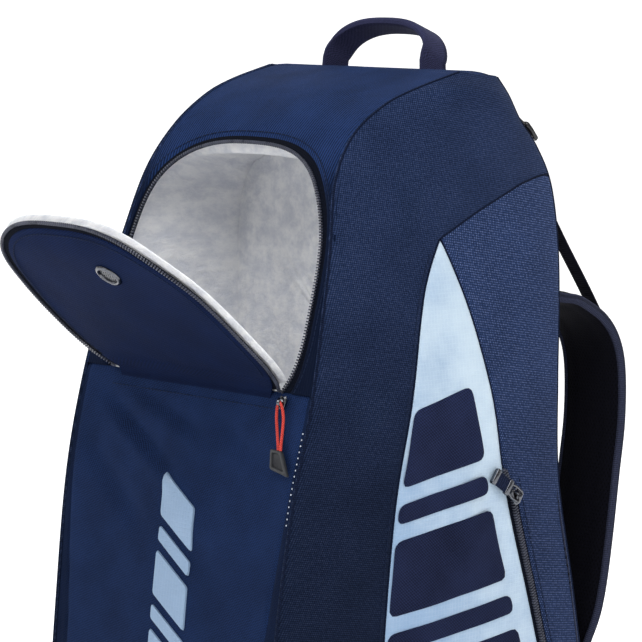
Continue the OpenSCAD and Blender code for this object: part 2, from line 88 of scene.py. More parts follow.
# ------------------------------------------------------- the bag's own shape
# The same levels as the CAD model's: front y and z, back y and z, half width
# at the seams, and how far the side wall swells beyond them.
LEVELS = np.array([
    [-132, 0, 136, 0, 114, 0],
    [-175, 36, 161, 36, 129, 10],
    [-184, 115, 170, 115, 133, 17],
    [-181, 215, 167, 215, 134, 20],
    [-171, 325, 149, 322, 135, 20],
    [-157, 425, 127, 420, 138, 20],
    [-139, 500, 124, 500, 139, 20],
    [-122, 565, 131, 562, 133, 18],
    [-107, 617, 137, 612, 125, 17],
    [-92, 667, 140, 655, 114, 16],
    [-68, 701, 130, 684, 108, 14],
    [-36, 723, 110, 706, 109, 13],
    [-4, 735, 94, 726, 112, 12],
    [39, 746, 80, 741, 113, 0]], float)
TOP = len(LEVELS) - 1
FOLD_Z = 511
LID_T = 9.3
FRONT, BACK = 0, 1


def unit(v):
    """Vectors brought to length 1."""
    return v / np.linalg.norm(v, axis=-1, keepdims=True)


def square_to(t, v):
    """Unit vectors at right angles to the unit vectors t, as near to v as can be."""
    v = np.broadcast_to(np.asarray(v, float), t.shape)
    return unit(v - t * np.sum(v * t, axis=1)[:, None])


def picked(rows, count):
    """count of the rows, at even steps."""
    return rows[np.linspace(0, len(rows) - 1, count).round().astype(int)]


def bend(a, b, c, f):
    """A curve from a to c that leaves and arrives in line with b."""
    return (1 - f) ** 2 * a + 2 * f * (1 - f) * b + f * f * c


def run_of(path):
    """The length along a polyline at each of its points."""
    return np.concatenate([[0], np.cumsum(np.linalg.norm(np.diff(path, axis=0), axis=1))])


def points_at(path, at):
    """Points of a polyline at given lengths along it."""
    run = run_of(path)
    return np.stack([np.interp(at, run, path[:, k]) for k in range(path.shape[1])], -1)


def spline(a, b, c, d, f):
    """A smooth curve from b to c, with a and d as the points before and after them."""
    return 0.5 * (2 * b + (c - a) * f + (2 * a - 5 * b + 4 * c - d) * f**2
                  + (3 * b - a - 3 * c + d) * f**3)


def level(t):
    """The level values at each height parameter in t."""
    t = np.asarray(t, float)
    i = np.clip(np.floor(t).astype(int), 0, TOP - 1)
    rows = np.vstack([2 * LEVELS[0] - LEVELS[1], LEVELS, 2 * LEVELS[-1] - LEVELS[-2]])
    return spline(*(rows[i + k] for k in range(4)), (t - i)[..., None])


TS = np.linspace(0, TOP, 521)
ROWS = level(TS)
OUTLINE = [ROWS[:, :2], ROWS[:, 2:4]]
FOLD_T = np.interp(FOLD_Z, ROWS[:, 1], TS)
ARC = []
for face, origin in ((FRONT, FOLD_T), (BACK, LID_T)):
    arc = run_of(OUTLINE[face])
    ARC.append(arc - np.interp(origin, TS, arc))
S_BASE = [arc[0] for arc in ARC]
S_TOP = [arc[-1] for arc in ARC]


def t_at(face, s):
    """The height parameter at arc length s."""
    return np.interp(s, ARC[face], TS)


def edge_at(face, s):
    """y and z of the front or back outline at arc length s from its fold."""
    s = np.asarray(s, float)
    return np.stack([np.interp(s, ARC[face], OUTLINE[face][:, k]) for k in (0, 1)], -1)


def half_at(face, s):
    """Half the wall's width at arc length s."""
    return level(t_at(face, s))[..., 4]


def inward(face, s):
    """Unit normal into the bag, as y and z."""
    d = edge_at(face, np.asarray(s) + 1.5) - edge_at(face, np.asarray(s) - 1.5)
    u = unit(d)
    return np.stack([u[..., 1], -u[..., 0]], -1) * (1 if face == FRONT else -1)


CROWN = 2.5
CROWN_REACH = 80


def wall_pt(face, x, s, depth=0.0):
    """A point of the front or back wall: x across, s along the outline, depth inward."""
    x, s, depth = np.broadcast_arrays(*(np.asarray(v, float) for v in (x, s, depth)))
    u = x / half_at(face, s)
    swell = CROWN * np.clip(1 - u * u, 0, None) ** 2 * np.clip(abs(s) / CROWN_REACH, 0, 1)
    q = edge_at(face, s) + inward(face, s) * (depth - swell)[..., None]
    return np.concatenate([x[..., None], q], -1)


def mix(a, b, f):
    """a where f is 0, b where it is 1."""
    return a + (b - a) * f


def smooth(a, b, x):
    """0 below a, 1 above b, eased between."""
    f = np.clip((np.asarray(x, float) - a) / (b - a), 0, 1)
    return f * f * (3 - 2 * f)


def side_pt(t, s, depth=0.0):
    """A point of the right side wall: t up the bag, s from front seam to back seam."""
    t, s, depth = np.broadcast_arrays(*(np.asarray(v, float) for v in (t, s, depth)))
    v = level(t)
    bulge = 1 - abs(2 * s - 1) ** 2.4
    return np.stack([v[..., 4] + v[..., 5] * bulge - depth,
                     mix(v[..., 0], v[..., 2], s), mix(v[..., 1], v[..., 3], s)], -1)


def side_place(y, z):
    """The side wall's t and s at a given y and z."""
    y, z = np.asarray(y, float), np.asarray(z, float)
    t = np.interp(z, ROWS[:, 1], TS)
    for _ in range(25):
        v = level(t)
        s = np.clip((y - v[..., 0]) / (v[..., 2] - v[..., 0]), 0, 1)
        t = np.clip(t + (z - mix(v[..., 1], v[..., 3], s)) / 80, 0, TOP)
    return t, s


# An opening is a rounded arch: half width, centre, rise above and below it.
ARCH_N = 2.8
FLAP = (114, 56, 132, 85)
LID = (92, 30, 52, 45)
COVER_CUT = -6.5  # how much smaller than its opening the outer cloth of flap and lid is


def arch(shape, grow, k):
    """Point k (0 to 1) round the arch, from its right foot to its left foot: x and s."""
    a, up, down = shape[0] + grow, shape[2] + grow, shape[3] + grow
    foot = math.asin(min(1, (shape[1] / down) ** (ARCH_N / 2)))
    phi = mix(-foot, math.pi + foot, np.asarray(k, float))
    c, v = np.cos(phi), np.sin(phi)
    x = a * np.sign(c) * abs(c) ** (2 / ARCH_N)
    s = shape[1] + np.where(v > 0, up, down) * np.sign(v) * abs(v) ** (2 / ARCH_N)
    return x, np.maximum(s, 0)


def even_arch(shape, grow, count, foot=0.0):
    """The arch's points at even spacing: x and s. foot is where its legs begin."""
    x, s = arch(shape, grow, np.linspace(0, 1, 900))
    path = np.stack([x, s], -1)[s >= foot]
    return points_at(path, np.linspace(0, run_of(path)[-1], count)).T


def arch_half(shape, grow, s):
    """Half the arch's width at s."""
    s = np.asarray(s, float)
    r = np.where(s > shape[1], shape[2] + grow, shape[3] + grow)
    inside = np.clip(1 - (abs(s - shape[1]) / r) ** ARCH_N, 0, None)
    return (shape[0] + grow) * inside ** (1 / ARCH_N)


# Depths of a zip's parts below the wall's face, and places beside the arch's line
TEETH_DEPTH = 0.7
TAPE_INNER_DEPTH = 0.9
WALL_HALF = (8.5, 0.6, 1.4, 1.2, 0)  # tape from and to, its depth, teeth at, first tooth
COVER_HALF = (-8.5, -0.9, 1.0, -1.3, 0.95)

# The flap is modelled closed and then turned open about its fold
FLAP_OPEN = math.radians(64)
FOLD = edge_at(FRONT, 0.0)


def turn_x(points, centre, angle):
    """Points turned about a line along X through centre, which is y and z."""
    p = np.array(points, float)
    y, z = p[..., 1] - centre[0], p[..., 2] - centre[1]
    p[..., 1] = centre[0] + y * math.cos(angle) - z * math.sin(angle)
    p[..., 2] = centre[1] + y * math.sin(angle) + z * math.cos(angle)
    return p


def opened(points):
    """Points of the closed flap, turned to where it hangs open."""
    return turn_x(points, FOLD, FLAP_OPEN)


def as_is(points):
    return points


# ------------------------------------------------------------ mesh builders
def make(name, verts, faces, material, uv=None, sharp=40):
    """A mesh object from millimetre points. uv has one pair per vertex, in millimetres."""
    mesh = bpy.data.meshes.new(name)
    mesh.from_pydata((np.asarray(verts, float).reshape(-1, 3) * MM).tolist(), [], faces)
    mesh.materials.append(material)
    if uv is not None:
        layer = mesh.uv_layers.new(name="cloth")
        flat = np.asarray(uv, float).reshape(-1, 2)
        index = np.empty(len(mesh.loops), int)
        mesh.loops.foreach_get("vertex_index", index)
        layer.data.foreach_set("uv", flat[index].astype(np.float32).ravel())
    mesh.validate()
    mesh.shade_smooth()
    mesh.set_sharp_from_angle(angle=math.radians(sharp))
    obj = bpy.data.objects.new(name, mesh)
    bpy.context.scene.collection.objects.link(obj)
    return obj


def quads(n, m, first=0, flip=False, wrap=False):
    """Quads of an n by m grid of vertices, closed along its second index if wrap."""
    out = []
    for i in range(n - 1):
        for j in range(m if wrap else m - 1):
            a, b = first + i * m + j, first + i * m + (j + 1) % m
            q = [a, b, b + m, a + m]
            out.append(q[::-1] if flip else q)
    return out


def tube_faces(n, m):
    """Faces of n rings of m vertices, closed at both ends."""
    return quads(n, m, wrap=True) + [list(range(m))[::-1], [(n - 1) * m + j for j in range(m)]]


def sheet(name, outer, inner, material, uv):
    """A closed sheet of cloth between two grids of points, with a rounded edge."""
    outer, inner = np.asarray(outer, float), np.asarray(inner, float)
    n, m = outer.shape[:2]
    i, j = n // 2, m // 2
    normal = np.cross(outer[i + 1, j] - outer[i, j], outer[i, j + 1] - outer[i, j])
    flip = float(normal @ (outer[i, j] - inner[i, j])) > 0
    k = n * m
    rim = (list(range(m)) + [i * m + m - 1 for i in range(1, n)]
           + [(n - 1) * m + j for j in range(m - 2, -1, -1)]
           + [i * m for i in range(n - 2, 0, -1)])
    faces = quads(n, m, 0, flip) + quads(n, m, k, not flip)
    points = np.concatenate([outer.reshape(-1, 3), inner.reshape(-1, 3)])
    uvs = np.concatenate([np.asarray(uv, float).reshape(-1, 2)] * 2)
    # an extra ring between the two faces, pushed out a little
    loop = len(rim)
    near, far = points[rim], points[[a + k for a in rim]]
    away = (near + far) / 2 - near.mean(0)
    away /= np.linalg.norm(away, axis=1)[:, None] + 1e-9
    thick = np.linalg.norm(near - far, axis=1)[:, None]
    first = len(points)
    points = np.concatenate([points, (near + far) / 2 + away * thick * 0.35])
    uvs = np.concatenate([uvs, uvs[rim]])
    for q in range(loop):
        r = (q + 1) % loop
        a, b, c, d = rim[q], rim[r], first + q, first + r
        faces += [f[::-1] if flip else f for f in ([a, c, d, b], [c, a + k, b + k, d])]
    return make(name, points, faces, material, uvs)


def tangents(path):
    """Tangents of a polyline of points."""
    path = np.asarray(path, float)
    d = np.gradient(path, axis=0)
    return d / (np.linalg.norm(d, axis=1)[:, None] + 1e-12)


def sweep(name, path, section, side, material):
    """A closed outline, of points (across, out), carried along a path.

    side is the across direction, for the whole path or for each point.
    """
    path = np.asarray(path, float)
    section = np.asarray(section, float)
    if section.ndim == 2:
        section = np.repeat(section[None], len(path), 0)
    t = tangents(path)
    side = square_to(t, side)
    out = np.cross(t, side)
    pts = (path[:, None] + side[:, None] * section[..., :1] + out[:, None] * section[..., 1:])
    n, m = pts.shape[:2]
    uv = np.stack(np.broadcast_arrays(run_of(section[n // 2])[None, :], run_of(path)[:, None]), -1)
    return make(name, pts, tube_faces(n, m), material, uv)


def circle(r, n):
    """A round outline of n points."""
    a = np.linspace(0, 2 * math.pi, n, endpoint=False)
    return np.stack([r * np.cos(a), r * np.sin(a)], -1)


def ribbon_section(width, thick):
    """A flat strip's outline with soft edges."""
    r = thick / 2
    right = [(width / 2 - r + r * math.cos(a), r * math.sin(a))
             for a in np.linspace(-math.pi / 2, math.pi / 2, 5)]
    top = [(x, r) for x in np.linspace(width / 2 - r, -width / 2 + r, 9)[1:-1]]
    left = [(-x, -y) for x, y in right]
    bottom = [(x, -r) for x in np.linspace(-width / 2 + r, width / 2 - r, 9)[1:-1]]
    return np.array(right + top + left + bottom)


def studs(name, points, along, up, size, material, taper=0.7):
    """A row of small rounded blocks in one mesh: size is length, width and height."""
    along = unit(along)
    up = square_to(along, up)
    across = np.cross(along, up)
    a, b, c = size[0] / 2, size[1] / 2, size[2]
    base = [(-1, -1, 0), (1, -1, 0), (1, 1, 0), (-1, 1, 0)]
    mid = [(x, y, 0.6) for x, y, _ in base]
    top = [(x * taper, y * taper, 1) for x, y, _ in base]
    stud = np.array(base + mid + top) * [a, b, c]
    pts = (points[:, None] + along[:, None] * stud[None, :, :1]
           + across[:, None] * stud[None, :, 1:2] + up[:, None] * stud[None, :, 2:])
    shell = [[3, 2, 1, 0], [8, 9, 10, 11]]
    for ring in (0, 4):
        for j in range(4):
            k = (j + 1) % 4
            shell.append([ring + j, ring + k, ring + 4 + k, ring + 4 + j])
    faces = [[12 * i + v for v in f] for i in range(len(points)) for f in shell]
    return make(name, pts, faces, material, sharp=55)


def along_path(path, pitch, start=0.0):
    """Evenly spaced points on a polyline, with their tangents."""
    pts = points_at(path, np.arange(start, run_of(path)[-1], pitch))
    return pts, tangents(pts)


def curve_through(points, per=8):
    """A smooth line through given points."""
    p = np.asarray(points, float)
    p = np.vstack([2 * p[0] - p[1], p, 2 * p[-1] - p[-2]])
    out = []
    for i in range(1, len(p) - 2):
        out += [spline(*p[i - 1:i + 3], f) for f in np.arange(per) / per]
    out.append(p[-2])
    return np.array(out)


def spread(length, near=(0, 0.7, 1.6, 2.8, 4.5, 7, 10.5), step=6.0):
    """Places from 0 to length, close together near its ends, which are seams."""
    lo = list(near)
    hi = [length - v for v in near][::-1]
    count = max(2, int((hi[0] - lo[-1]) / step) + 1)
    middle = np.linspace(lo[-1], hi[0], count + 1)[1:-1]
    return np.concatenate([lo, middle, hi])


def mirrored(points, hand):
    """Points of the right side, brought to the side of a hand of 1 or -1."""
    return np.asarray(points, float) * [hand, 1, 1]


def joined(name, objects):
    """Several meshes as one object."""
    bpy.ops.object.select_all(action="DESELECT")
    for o in objects:
        o.select_set(True)
    bpy.context.view_layer.objects.active = objects[0]
    bpy.ops.object.join()
    objects[0].name = name
    return objects[0]


# ---------------------------------------------------------------- materials
class Paint:
    """A material under construction: short calls for its nodes."""

    def __init__(self, name, colour, rough=0.85, sheen=0.02, metal=0.0, coat=0.0, specular=0.05):
        self.mat = bpy.data.materials.new(name)
        self.mat.use_nodes = True
        self.tree = self.mat.node_tree
        self.bsdf = self.tree.nodes["Principled BSDF"]
        for name, value in {
                "Base Color": (*colour, 1), "Roughness": rough, "Metallic": metal,
                "Sheen Weight": sheen, "Sheen Roughness": 0.45,
                "Sheen Tint": (*[min(1, 0.35 + 2.5 * c) for c in colour], 1),
                "Coat Weight": coat, "Specular IOR Level": specular}.items():
            self.bsdf.inputs[name].default_value = value

    def put(self, socket, value):
        """Sets a socket, or links it when the value is another node's output."""
        if isinstance(value, bpy.types.NodeSocket):
            self.tree.links.new(value, socket)
        else:
            socket.default_value = value

    def node(self, kind, sockets=None, **settings):
        """A node with its sockets, by name or number, and its settings given."""
        n = self.tree.nodes.new("ShaderNode" + kind)
        for key, value in settings.items():
            setattr(n, key, value)
        for key, value in (sockets or {}).items():
            self.put(n.inputs[key], value)
        return n.outputs

    def math(self, op, a, b=0.0, c=0.0):
        return self.node("Math", {0: a, 1: b, 2: c}, operation=op)[0]

    def total(self, *terms):
        """The sum of value and weight pairs."""
        out = 0.0
        for value, weight in terms:
            out = self.math("MULTIPLY_ADD", value, weight, out)
        return out

    def place(self):
        return self.node("TexCoord")["Object"]

    def painted_height_shade(self, colour, low=0.62):
        """The colour with painted shade: scaled down to low in the lower half of the bag and a little
        over 1 at the top, for light falling off down the bag.
        """
        height = self.node("SeparateXYZ", {0: self.place()})[2]
        # painted shade: the share falls from 1.05 high up to low near the floor
        share = self.ramp(height, 0.36, 0.72, low, 1.05)
        return self.node("VectorMath", {0: colour, "Scale": share}, operation="SCALE")[0]

    def cloth_uv(self):
        uv = self.node("UVMap", uv_map="cloth")[0]
        split = self.node("SeparateXYZ", {0: uv})
        return uv, split[0], split[1]

    def wave(self, value, period):
        """-1 to 1 ripples with a period in millimetres."""
        return self.math("SINE", self.math("MULTIPLY", value, 2 * math.pi / period))

    def noise(self, vector, size, detail=3.0, rough=0.55):
        """Clouds of 0 to 1 with a size in the vector's own unit."""
        return self.node("TexNoise", {"Vector": vector, "Scale": 1 / size, "Detail": detail,
                                      "Roughness": rough})["Fac"]

    def ramp(self, value, low, high, lo_out=0.0, hi_out=1.0):
        return self.node("MapRange", {"Value": value, "From Min": low, "From Max": high,
                                      "To Min": lo_out, "To Max": hi_out},
                         interpolation_type="SMOOTHSTEP")["Result"]

    def tint(self, factor, *colours):
        """The first colour where the factor is 0, the second where it is 1."""
        a, b = ((*c, 1) if isinstance(c, tuple) else c for c in colours)
        return self.node("Mix", {0: factor, 6: a, 7: b}, data_type="RGBA")[2]

    def shades(self, value, low, high, colour, dark, bright):
        """The colour scaled by dark where value is low and by bright where it is high."""
        return self.tint(self.ramp(value, low, high), scaled(colour, dark), scaled(colour, bright))

    def finish(self, colour=None, height=None, depth=0.3, rough=None):
        """Links a colour, a bump height whose full swing is depth millimetres, a roughness."""
        if height is not None:
            bump = self.node("Bump", {"Distance": depth * MM, "Strength": 1.0, "Height": height})[0]
            self.put(self.bsdf.inputs["Normal"], bump)
        for name, value in (("Base Color", colour), ("Roughness", rough)):
            if value is not None:
                self.put(self.bsdf.inputs[name], value)
        return self.mat


def scaled(colour, k):
    return tuple(min(1, c * k) for c in colour)


NAVY = (0.0100, 0.0245, 0.081)
NAVY_SIDE = (0.0145, 0.0270, 0.073)
# painted shade: the flap's navy is a darker copy of the front's, for the shade on its downward face
NAVY_FLAP_SHADED = (0.0034, 0.0098, 0.041)
NAVY_DARK = (0.004, 0.006, 0.014)
FLECK = (0.070, 0.090, 0.170)
BLUE = (0.25, 0.38, 0.57)
# painted light: the accent blue where light falls on it, mixed in by satin_cloth
BLUE_PALE_LIT = (0.58, 0.70, 0.80)
PRINT_BLUE = (0.20, 0.29, 0.42)
GREY = (0.90, 0.925, 1.0)


def ribbed_cloth(name, colour, painted_valley_shade=0.0):
    """Plain polyester with a fine upright rib. Its last argument paints shade in the hollow beside each
    leg of a low opening.
    """
    p = Paint(name, colour)
    uv, u, v = p.cloth_uv()
    ribs = p.wave(u, 2.6)
    yarn = p.math("MULTIPLY", p.wave(u, 0.9), p.wave(v, 0.9))
    fine = p.noise(uv, 1.6, 2)
    shade = p.total((ribs, 0.32), (fine, 0.6), (p.noise(uv, 40, 4), 0.6))
    # painted shade: darker beside the legs of the opening, low down
    if painted_valley_shade:
        beside = p.math("MULTIPLY", p.ramp(p.math("ABSOLUTE", u), 90, 116), p.ramp(v, 210, 90))
        shade = p.total((shade, 1), (beside, -painted_valley_shade))
    colour_out = p.shades(shade, 0.15, 1.05, colour, 0.3, 1.6)
    return p.finish(p.painted_height_shade(colour_out), p.total((ribs, 0.6), (yarn, 0.35), (fine, 0.5)), 0.16)


def twill_cloth(name, colour, pitch=2.2, contrast=1.0, painted_gusset_shade=False):
    """Cloth with a fine diagonal twill, broken into short runs. Its last argument paints shade on the
    strips beside both side seams, which turn away from the light.
    """
    p = Paint(name, colour)
    uv, u, v = p.cloth_uv()
    diagonal = p.wave(p.math("ADD", u, v), pitch)
    across = p.wave(p.total((v, 1), (u, -0.4)), pitch * 0.9)
    fine = p.noise(uv, 1.5, 2)
    shade = p.total((diagonal, 0.2 * contrast), (across, 0.13 * contrast), (fine, 0.55),
                    (p.noise(uv, 46, 4), 0.6))
    colour_out = p.shades(shade, 0.05, 1.05, colour, 0.3, 1.65)
    # painted shade: the strips beside both side seams darkened towards a fifth of the colour
    if painted_gusset_shade:
        beyond = p.total((p.math("ABSOLUTE", u), 1), (p.ramp(v, -290, -30, 113.5, 131), -1))
        colour_out = p.tint(p.ramp(beyond, -0.6, 0.8, 0, 0.6), colour_out, scaled(colour, 0.2))
    return p.finish(p.painted_height_shade(colour_out), p.total((diagonal, 0.6), (fine, 1)), 0.13)


def fleck_cloth(name, colour, pitch=2.9, fleck=0.85, share=0.35, low=0.45):
    """Cloth whose weave shows short pale flecks in staggered diagonal rows. low is the share of the
    painted height shade at the bottom of the bag.
    """
    p = Paint(name, colour)
    lean = 0.55
    uv, u, v = p.cloth_uv()
    a = p.wave(p.total((u, 1), (v, lean)), pitch)
    b = p.wave(p.total((v, 1), (u, -lean)), pitch * 0.8)
    cell = p.math("MULTIPLY", a, b)
    speckle = p.noise(uv, 2.2, 1)
    where = p.noise(uv, 60, 3)
    spot = p.math("MULTIPLY", p.ramp(cell, 0.2, 0.8), p.ramp(speckle, 0.4, 0.62))
    spot = p.math("MULTIPLY", spot, p.ramp(where, 0.3, 0.75, share, 1.0))
    shade = p.total((cell, 0.3), (speckle, 0.45), (where, 0.4))
    base = p.shades(shade, 0.0, 0.85, colour, 0.35, 1.45)
    colour_out = p.tint(spot, base, scaled(FLECK, fleck))
    return p.finish(p.painted_height_shade(colour_out, low), p.total((cell, 0.8), (speckle, 1)), 0.2)


def satin_cloth(name, deep, pale):
    """Shiny ripstop: smooth, with a faint grid, and painted light: paler on its soft swells and towards
    the top and the wearer's back.
    """
    p = Paint(name, deep, rough=0.42, sheen=0.05, specular=0.35)
    uv, u, v = p.cloth_uv()
    grid = p.math("MAXIMUM", p.ramp(p.wave(u, 3.2), 0.75, 1.0), p.ramp(p.wave(v, 3.2), 0.75, 1.0))
    blotch = p.noise(uv, 30, 5, 0.6)
    # painted light: the swells and the ramps towards the top and back lean to the pale end
    shade = p.total((grid, 0.07), (blotch, 0.7), (p.noise(uv, 1.2, 2), 0.2),
                    (p.ramp(u, -70, 60), 0.35), (p.ramp(v, 330, 560), 0.35))
    colour_out = p.tint(p.ramp(shade, 0.35, 1.25), deep, pale)
    return p.finish(colour_out, p.total((blotch, 2.2), (grid, 0.25)), 0.5)


def lining_cloth(name, colour):
    """Thin coated lining with crumples, and painted shade and highlight that follow them."""
    p = Paint(name, colour, rough=0.5, sheen=0.05, specular=0.35)
    uv, u, v = p.cloth_uv()
    crumple = p.noise(uv, 14, 6, 0.7)
    weave = p.math("MULTIPLY", p.wave(u, 1.1), p.wave(v, 1.1))
    # painted shade and highlight: the colour follows the crumples of the bump
    colour_out = p.shades(crumple, 0.3, 0.7, colour, 0.8, 1.12)
    return p.finish(colour_out, p.total((crumple, 3), (weave, 0.12)), 0.9)


def webbing_cloth(name, colour, rib=2.1):
    """Woven webbing: ribs across it and a fine yarn along it."""
    p = Paint(name, colour)
    uv, u, v = p.cloth_uv()
    ribs = p.wave(v, rib)
    yarn = p.wave(p.total((u, 1), (ribs, 0.2)), 1.4)
    shade = p.total((ribs, 0.25), (yarn, 0.15), (p.noise(uv, 1.3, 2), 1))
    colour_out = p.shades(shade, 0.1, 0.95, colour, 0.6, 1.45)
    return p.finish(colour_out, p.total((ribs, 1), (yarn, 0.5)), 0.22)


def mesh_cloth(name, colour, pitch=3.4):
    """Spacer mesh: staggered round holes in a soft knit, with painted shade in the holes."""
    p = Paint(name, colour)
    uv, u, v = p.cloth_uv()
    a = p.wave(p.total((u, 1), (v, 0.58)), pitch)
    b = p.wave(p.total((u, 1), (v, -0.58)), pitch)
    hole = p.ramp(p.math("ADD", a, b), 0.55, 1.5)
    fine = p.noise(uv, 0.9, 2)
    base = p.tint(fine, scaled(colour, 0.7), scaled(colour, 1.5))
    # painted shade: the holes darkened to a quarter of the knit's colour
    return p.finish(p.tint(hole, base, scaled(colour, 0.25)), p.total((fine, 0.3), (hole, -1)), 0.7)


def braid_cloth(name, colour):
    """Round braided cord: two crossed spirals of yarn."""
    p = Paint(name, colour, rough=0.6, sheen=0.1, specular=0.2)
    _, u, v = p.cloth_uv()
    knit = p.math("MAXIMUM", p.wave(p.math("ADD", u, v), 1.8), p.wave(p.math("SUBTRACT", u, v), 1.8))
    colour_out = p.shades(knit, -0.4, 1.0, colour, 0.5, 1.2)
    return p.finish(colour_out, knit, 0.2)


def moulded(name, colour, rough=0.45, grain=0.06, coat=0.0):
    """Moulded plastic or rubber with a light grain."""
    p = Paint(name, colour, rough=rough, coat=coat, specular=0.3, sheen=0)
    where = p.place()
    fine = p.noise(where, 0.0006, 3)
    worn = p.noise(where, 0.012, 3)
    colour_out = p.shades(worn, 0.35, 0.7, colour, 0.85, 1.25)
    rough_out = p.ramp(worn, 0.3, 0.75, rough * 0.85, min(1, rough * 1.2))
    return p.finish(colour_out, fine, grain, rough_out)


def plated(name, colour, rough=0.22):
    """Black-nickel plate with faint tumbling marks."""
    p = Paint(name, colour, rough=rough, metal=1.0, specular=0.5, sheen=0)
    mark = p.noise(p.place(), 0.0015, 4)
    colour_out = p.shades(mark, 0.3, 0.7, colour, 0.8, 1.15)
    return p.finish(colour_out, mark, 0.03, p.ramp(mark, 0.3, 0.7, rough * 0.8, rough * 1.5))


def thread(name, colour):
    """Twisted sewing thread."""
    p = Paint(name, colour, rough=0.6)
    twist = p.noise(p.place(), 0.0008, 2)
    return p.finish(p.tint(twist, scaled(colour, 0.7), scaled(colour, 1.3)), twist, 0.1)


M = {
    "top": ribbed_cloth("navy_rib", NAVY),
    "collar": ribbed_cloth("navy_collar_shaded", NAVY, painted_valley_shade=1.1),
    "front": twill_cloth("navy_twill_seam_shade", NAVY, painted_gusset_shade=True),
    "flap": twill_cloth("navy_flap_shaded", NAVY_FLAP_SHADED, 2.0, 1.4),
    "side": fleck_cloth("navy_fleck", NAVY_SIDE),
    "rear": fleck_cloth("navy_dot", scaled(NAVY_SIDE, 1.5), pitch=3.4, fleck=1.9, share=0.8, low=0.8),
    "accent": satin_cloth("blue_satin", BLUE, BLUE_PALE_LIT),
    "graphic": twill_cloth("navy_graphic", (0.017, 0.024, 0.068), 2.6),
    "print": satin_cloth("blue_print", PRINT_BLUE, scaled(PRINT_BLUE, 1.15)),
    "lining": lining_cloth("grey_lining", GREY),
    "binding": webbing_cloth("navy_piping", (0.0055, 0.0100, 0.029), 1.6),
    # partly painted light: the strap's grey-blue binding, made paler for the back light on its edge
    "edge": webbing_cloth("edge_binding_lit", (0.030, 0.034, 0.062), 1.6),
    "tape": webbing_cloth("zip_tape", scaled(NAVY_DARK, 0.8), 1.2),
    "webbing": webbing_cloth("navy_webbing", (0.010, 0.015, 0.038)),
    "handle": twill_cloth("handle_webbing", (0.027, 0.029, 0.068), 1.7),
    "lifter": webbing_cloth("lifter_webbing", (0.010, 0.010, 0.020)),
    "mesh": mesh_cloth("spacer_mesh", (0.0045, 0.0045, 0.008)),
    "back": mesh_cloth("back_mesh", (0.014, 0.018, 0.038), 4.2),
    "tooth": moulded("zip_tooth", (0.055, 0.060, 0.085), 0.3, 0.02),
    "rubber": moulded("black_rubber", (0.008, 0.009, 0.013), 0.5, 0.05),
    "rubber_edge": moulded("grey_rubber", (0.030, 0.032, 0.036), 0.5, 0.05),
    "plastic": moulded("black_plastic", (0.010, 0.010, 0.012), 0.38, 0.05),
    "gloss": moulded("gloss_plastic", (0.012, 0.012, 0.014), 0.16, 0.01, 0.4),
    "metal": plated("black_nickel", (0.12, 0.125, 0.14), 0.16),
    "cord": braid_cloth("red_cord", (0.66, 0.060, 0.045)),
    "thread": thread("navy_thread", (0.0085, 0.0150, 0.040)),
    "white_thread": thread("pale_thread", (0.55, 0.60, 0.70)),
}


def put(obj, body, slot_name, *nodes):
    """The piece rides on a body and stands for CAD nodes, which it hides. slot_name is not used."""
    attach(obj, body)
    if nodes:
        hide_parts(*nodes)
    return obj


def bends(obj, slot_name, nodes, body, start, end):
    """The piece stands for CAD nodes, which it hides, and its transform is baked into its mesh; it does
    not bend. slot_name and body are not used; start and end are read but change nothing.
    """
    if nodes:
        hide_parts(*nodes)
    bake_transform(obj)
    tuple(start)
    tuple(end)
    return obj


def seam_dip(distance, deep=1.6, wide=2.3):
    """How far cloth turns inward at a distance from a seam."""
    return deep * np.exp(-(np.clip(distance, 0, None) / wide) ** 1.4)


def crease(u, v, a, b, width, depth):
    """A soft fold from a to b: depth at each u, v."""
    a, b = np.array(a, float), np.array(b, float)
    d = b - a
    length = np.hypot(*d)
    d /= length
    along = (u - a[0]) * d[0] + (v - a[1]) * d[1]
    off = (u - a[0]) * -d[1] + (v - a[1]) * d[0]
    share = along / length
    fade = smooth(-0.15, 0.3, share) * (1 - smooth(0.7, 1.15, share))
    return depth * fade * np.exp(-(off / width) ** 2)


def ripple(u, v, size, seed):
    """Slow unevenness of -1 to 1 that repeats nowhere near."""
    rng = np.random.RandomState(seed)
    total = 0
    for _ in range(7):
        angle, phase = rng.uniform(0, 2 * math.pi, 2)
        k = 2 * math.pi / (size * rng.uniform(0.7, 1.6))
        total = total + np.sin(k * (u * math.cos(angle) + v * math.sin(angle)) + phase)
    return total / 5


def uneven(u, v, seed, big, high, small, low):
    """Two ripples together: sizes big and small, heights high and low."""
    return ripple(u, v, big, seed) * high + ripple(u, v, small, seed + 1) * low


def stitches(name, path, up, material=None, pitch=4.2, length=2.9, body="root"):
    """A row of sewn stitches along a path. up is one direction, or one for each of its points."""
    pts, tangent = along_path(path, pitch, pitch / 2)
    if np.ndim(up) == 2:
        up = picked(up, len(pts))
    obj = studs(name, pts, tangent, up, (length, 0.8, 0.55), material or M["thread"], 0.55)
    put(obj, body, "navy_fabric")


# =============================================================== front wall
SEAM = 0.35  # half gap between neighbouring panels
CLOTH = 2.4  # thickness of padded cloth
# Places across a wall from its seam inward, as shares of its half width
WALL_NEAR = (0, 0.006, 0.013, 0.023, 0.038, 0.055, 0.065, 0.075, 0.085, 0.1, 0.12, 0.14, 0.16)


def gusset(s):
    """Width of the strip that turns away beside each front seam."""
    return 8 + 12 * smooth(-40, -300, s)


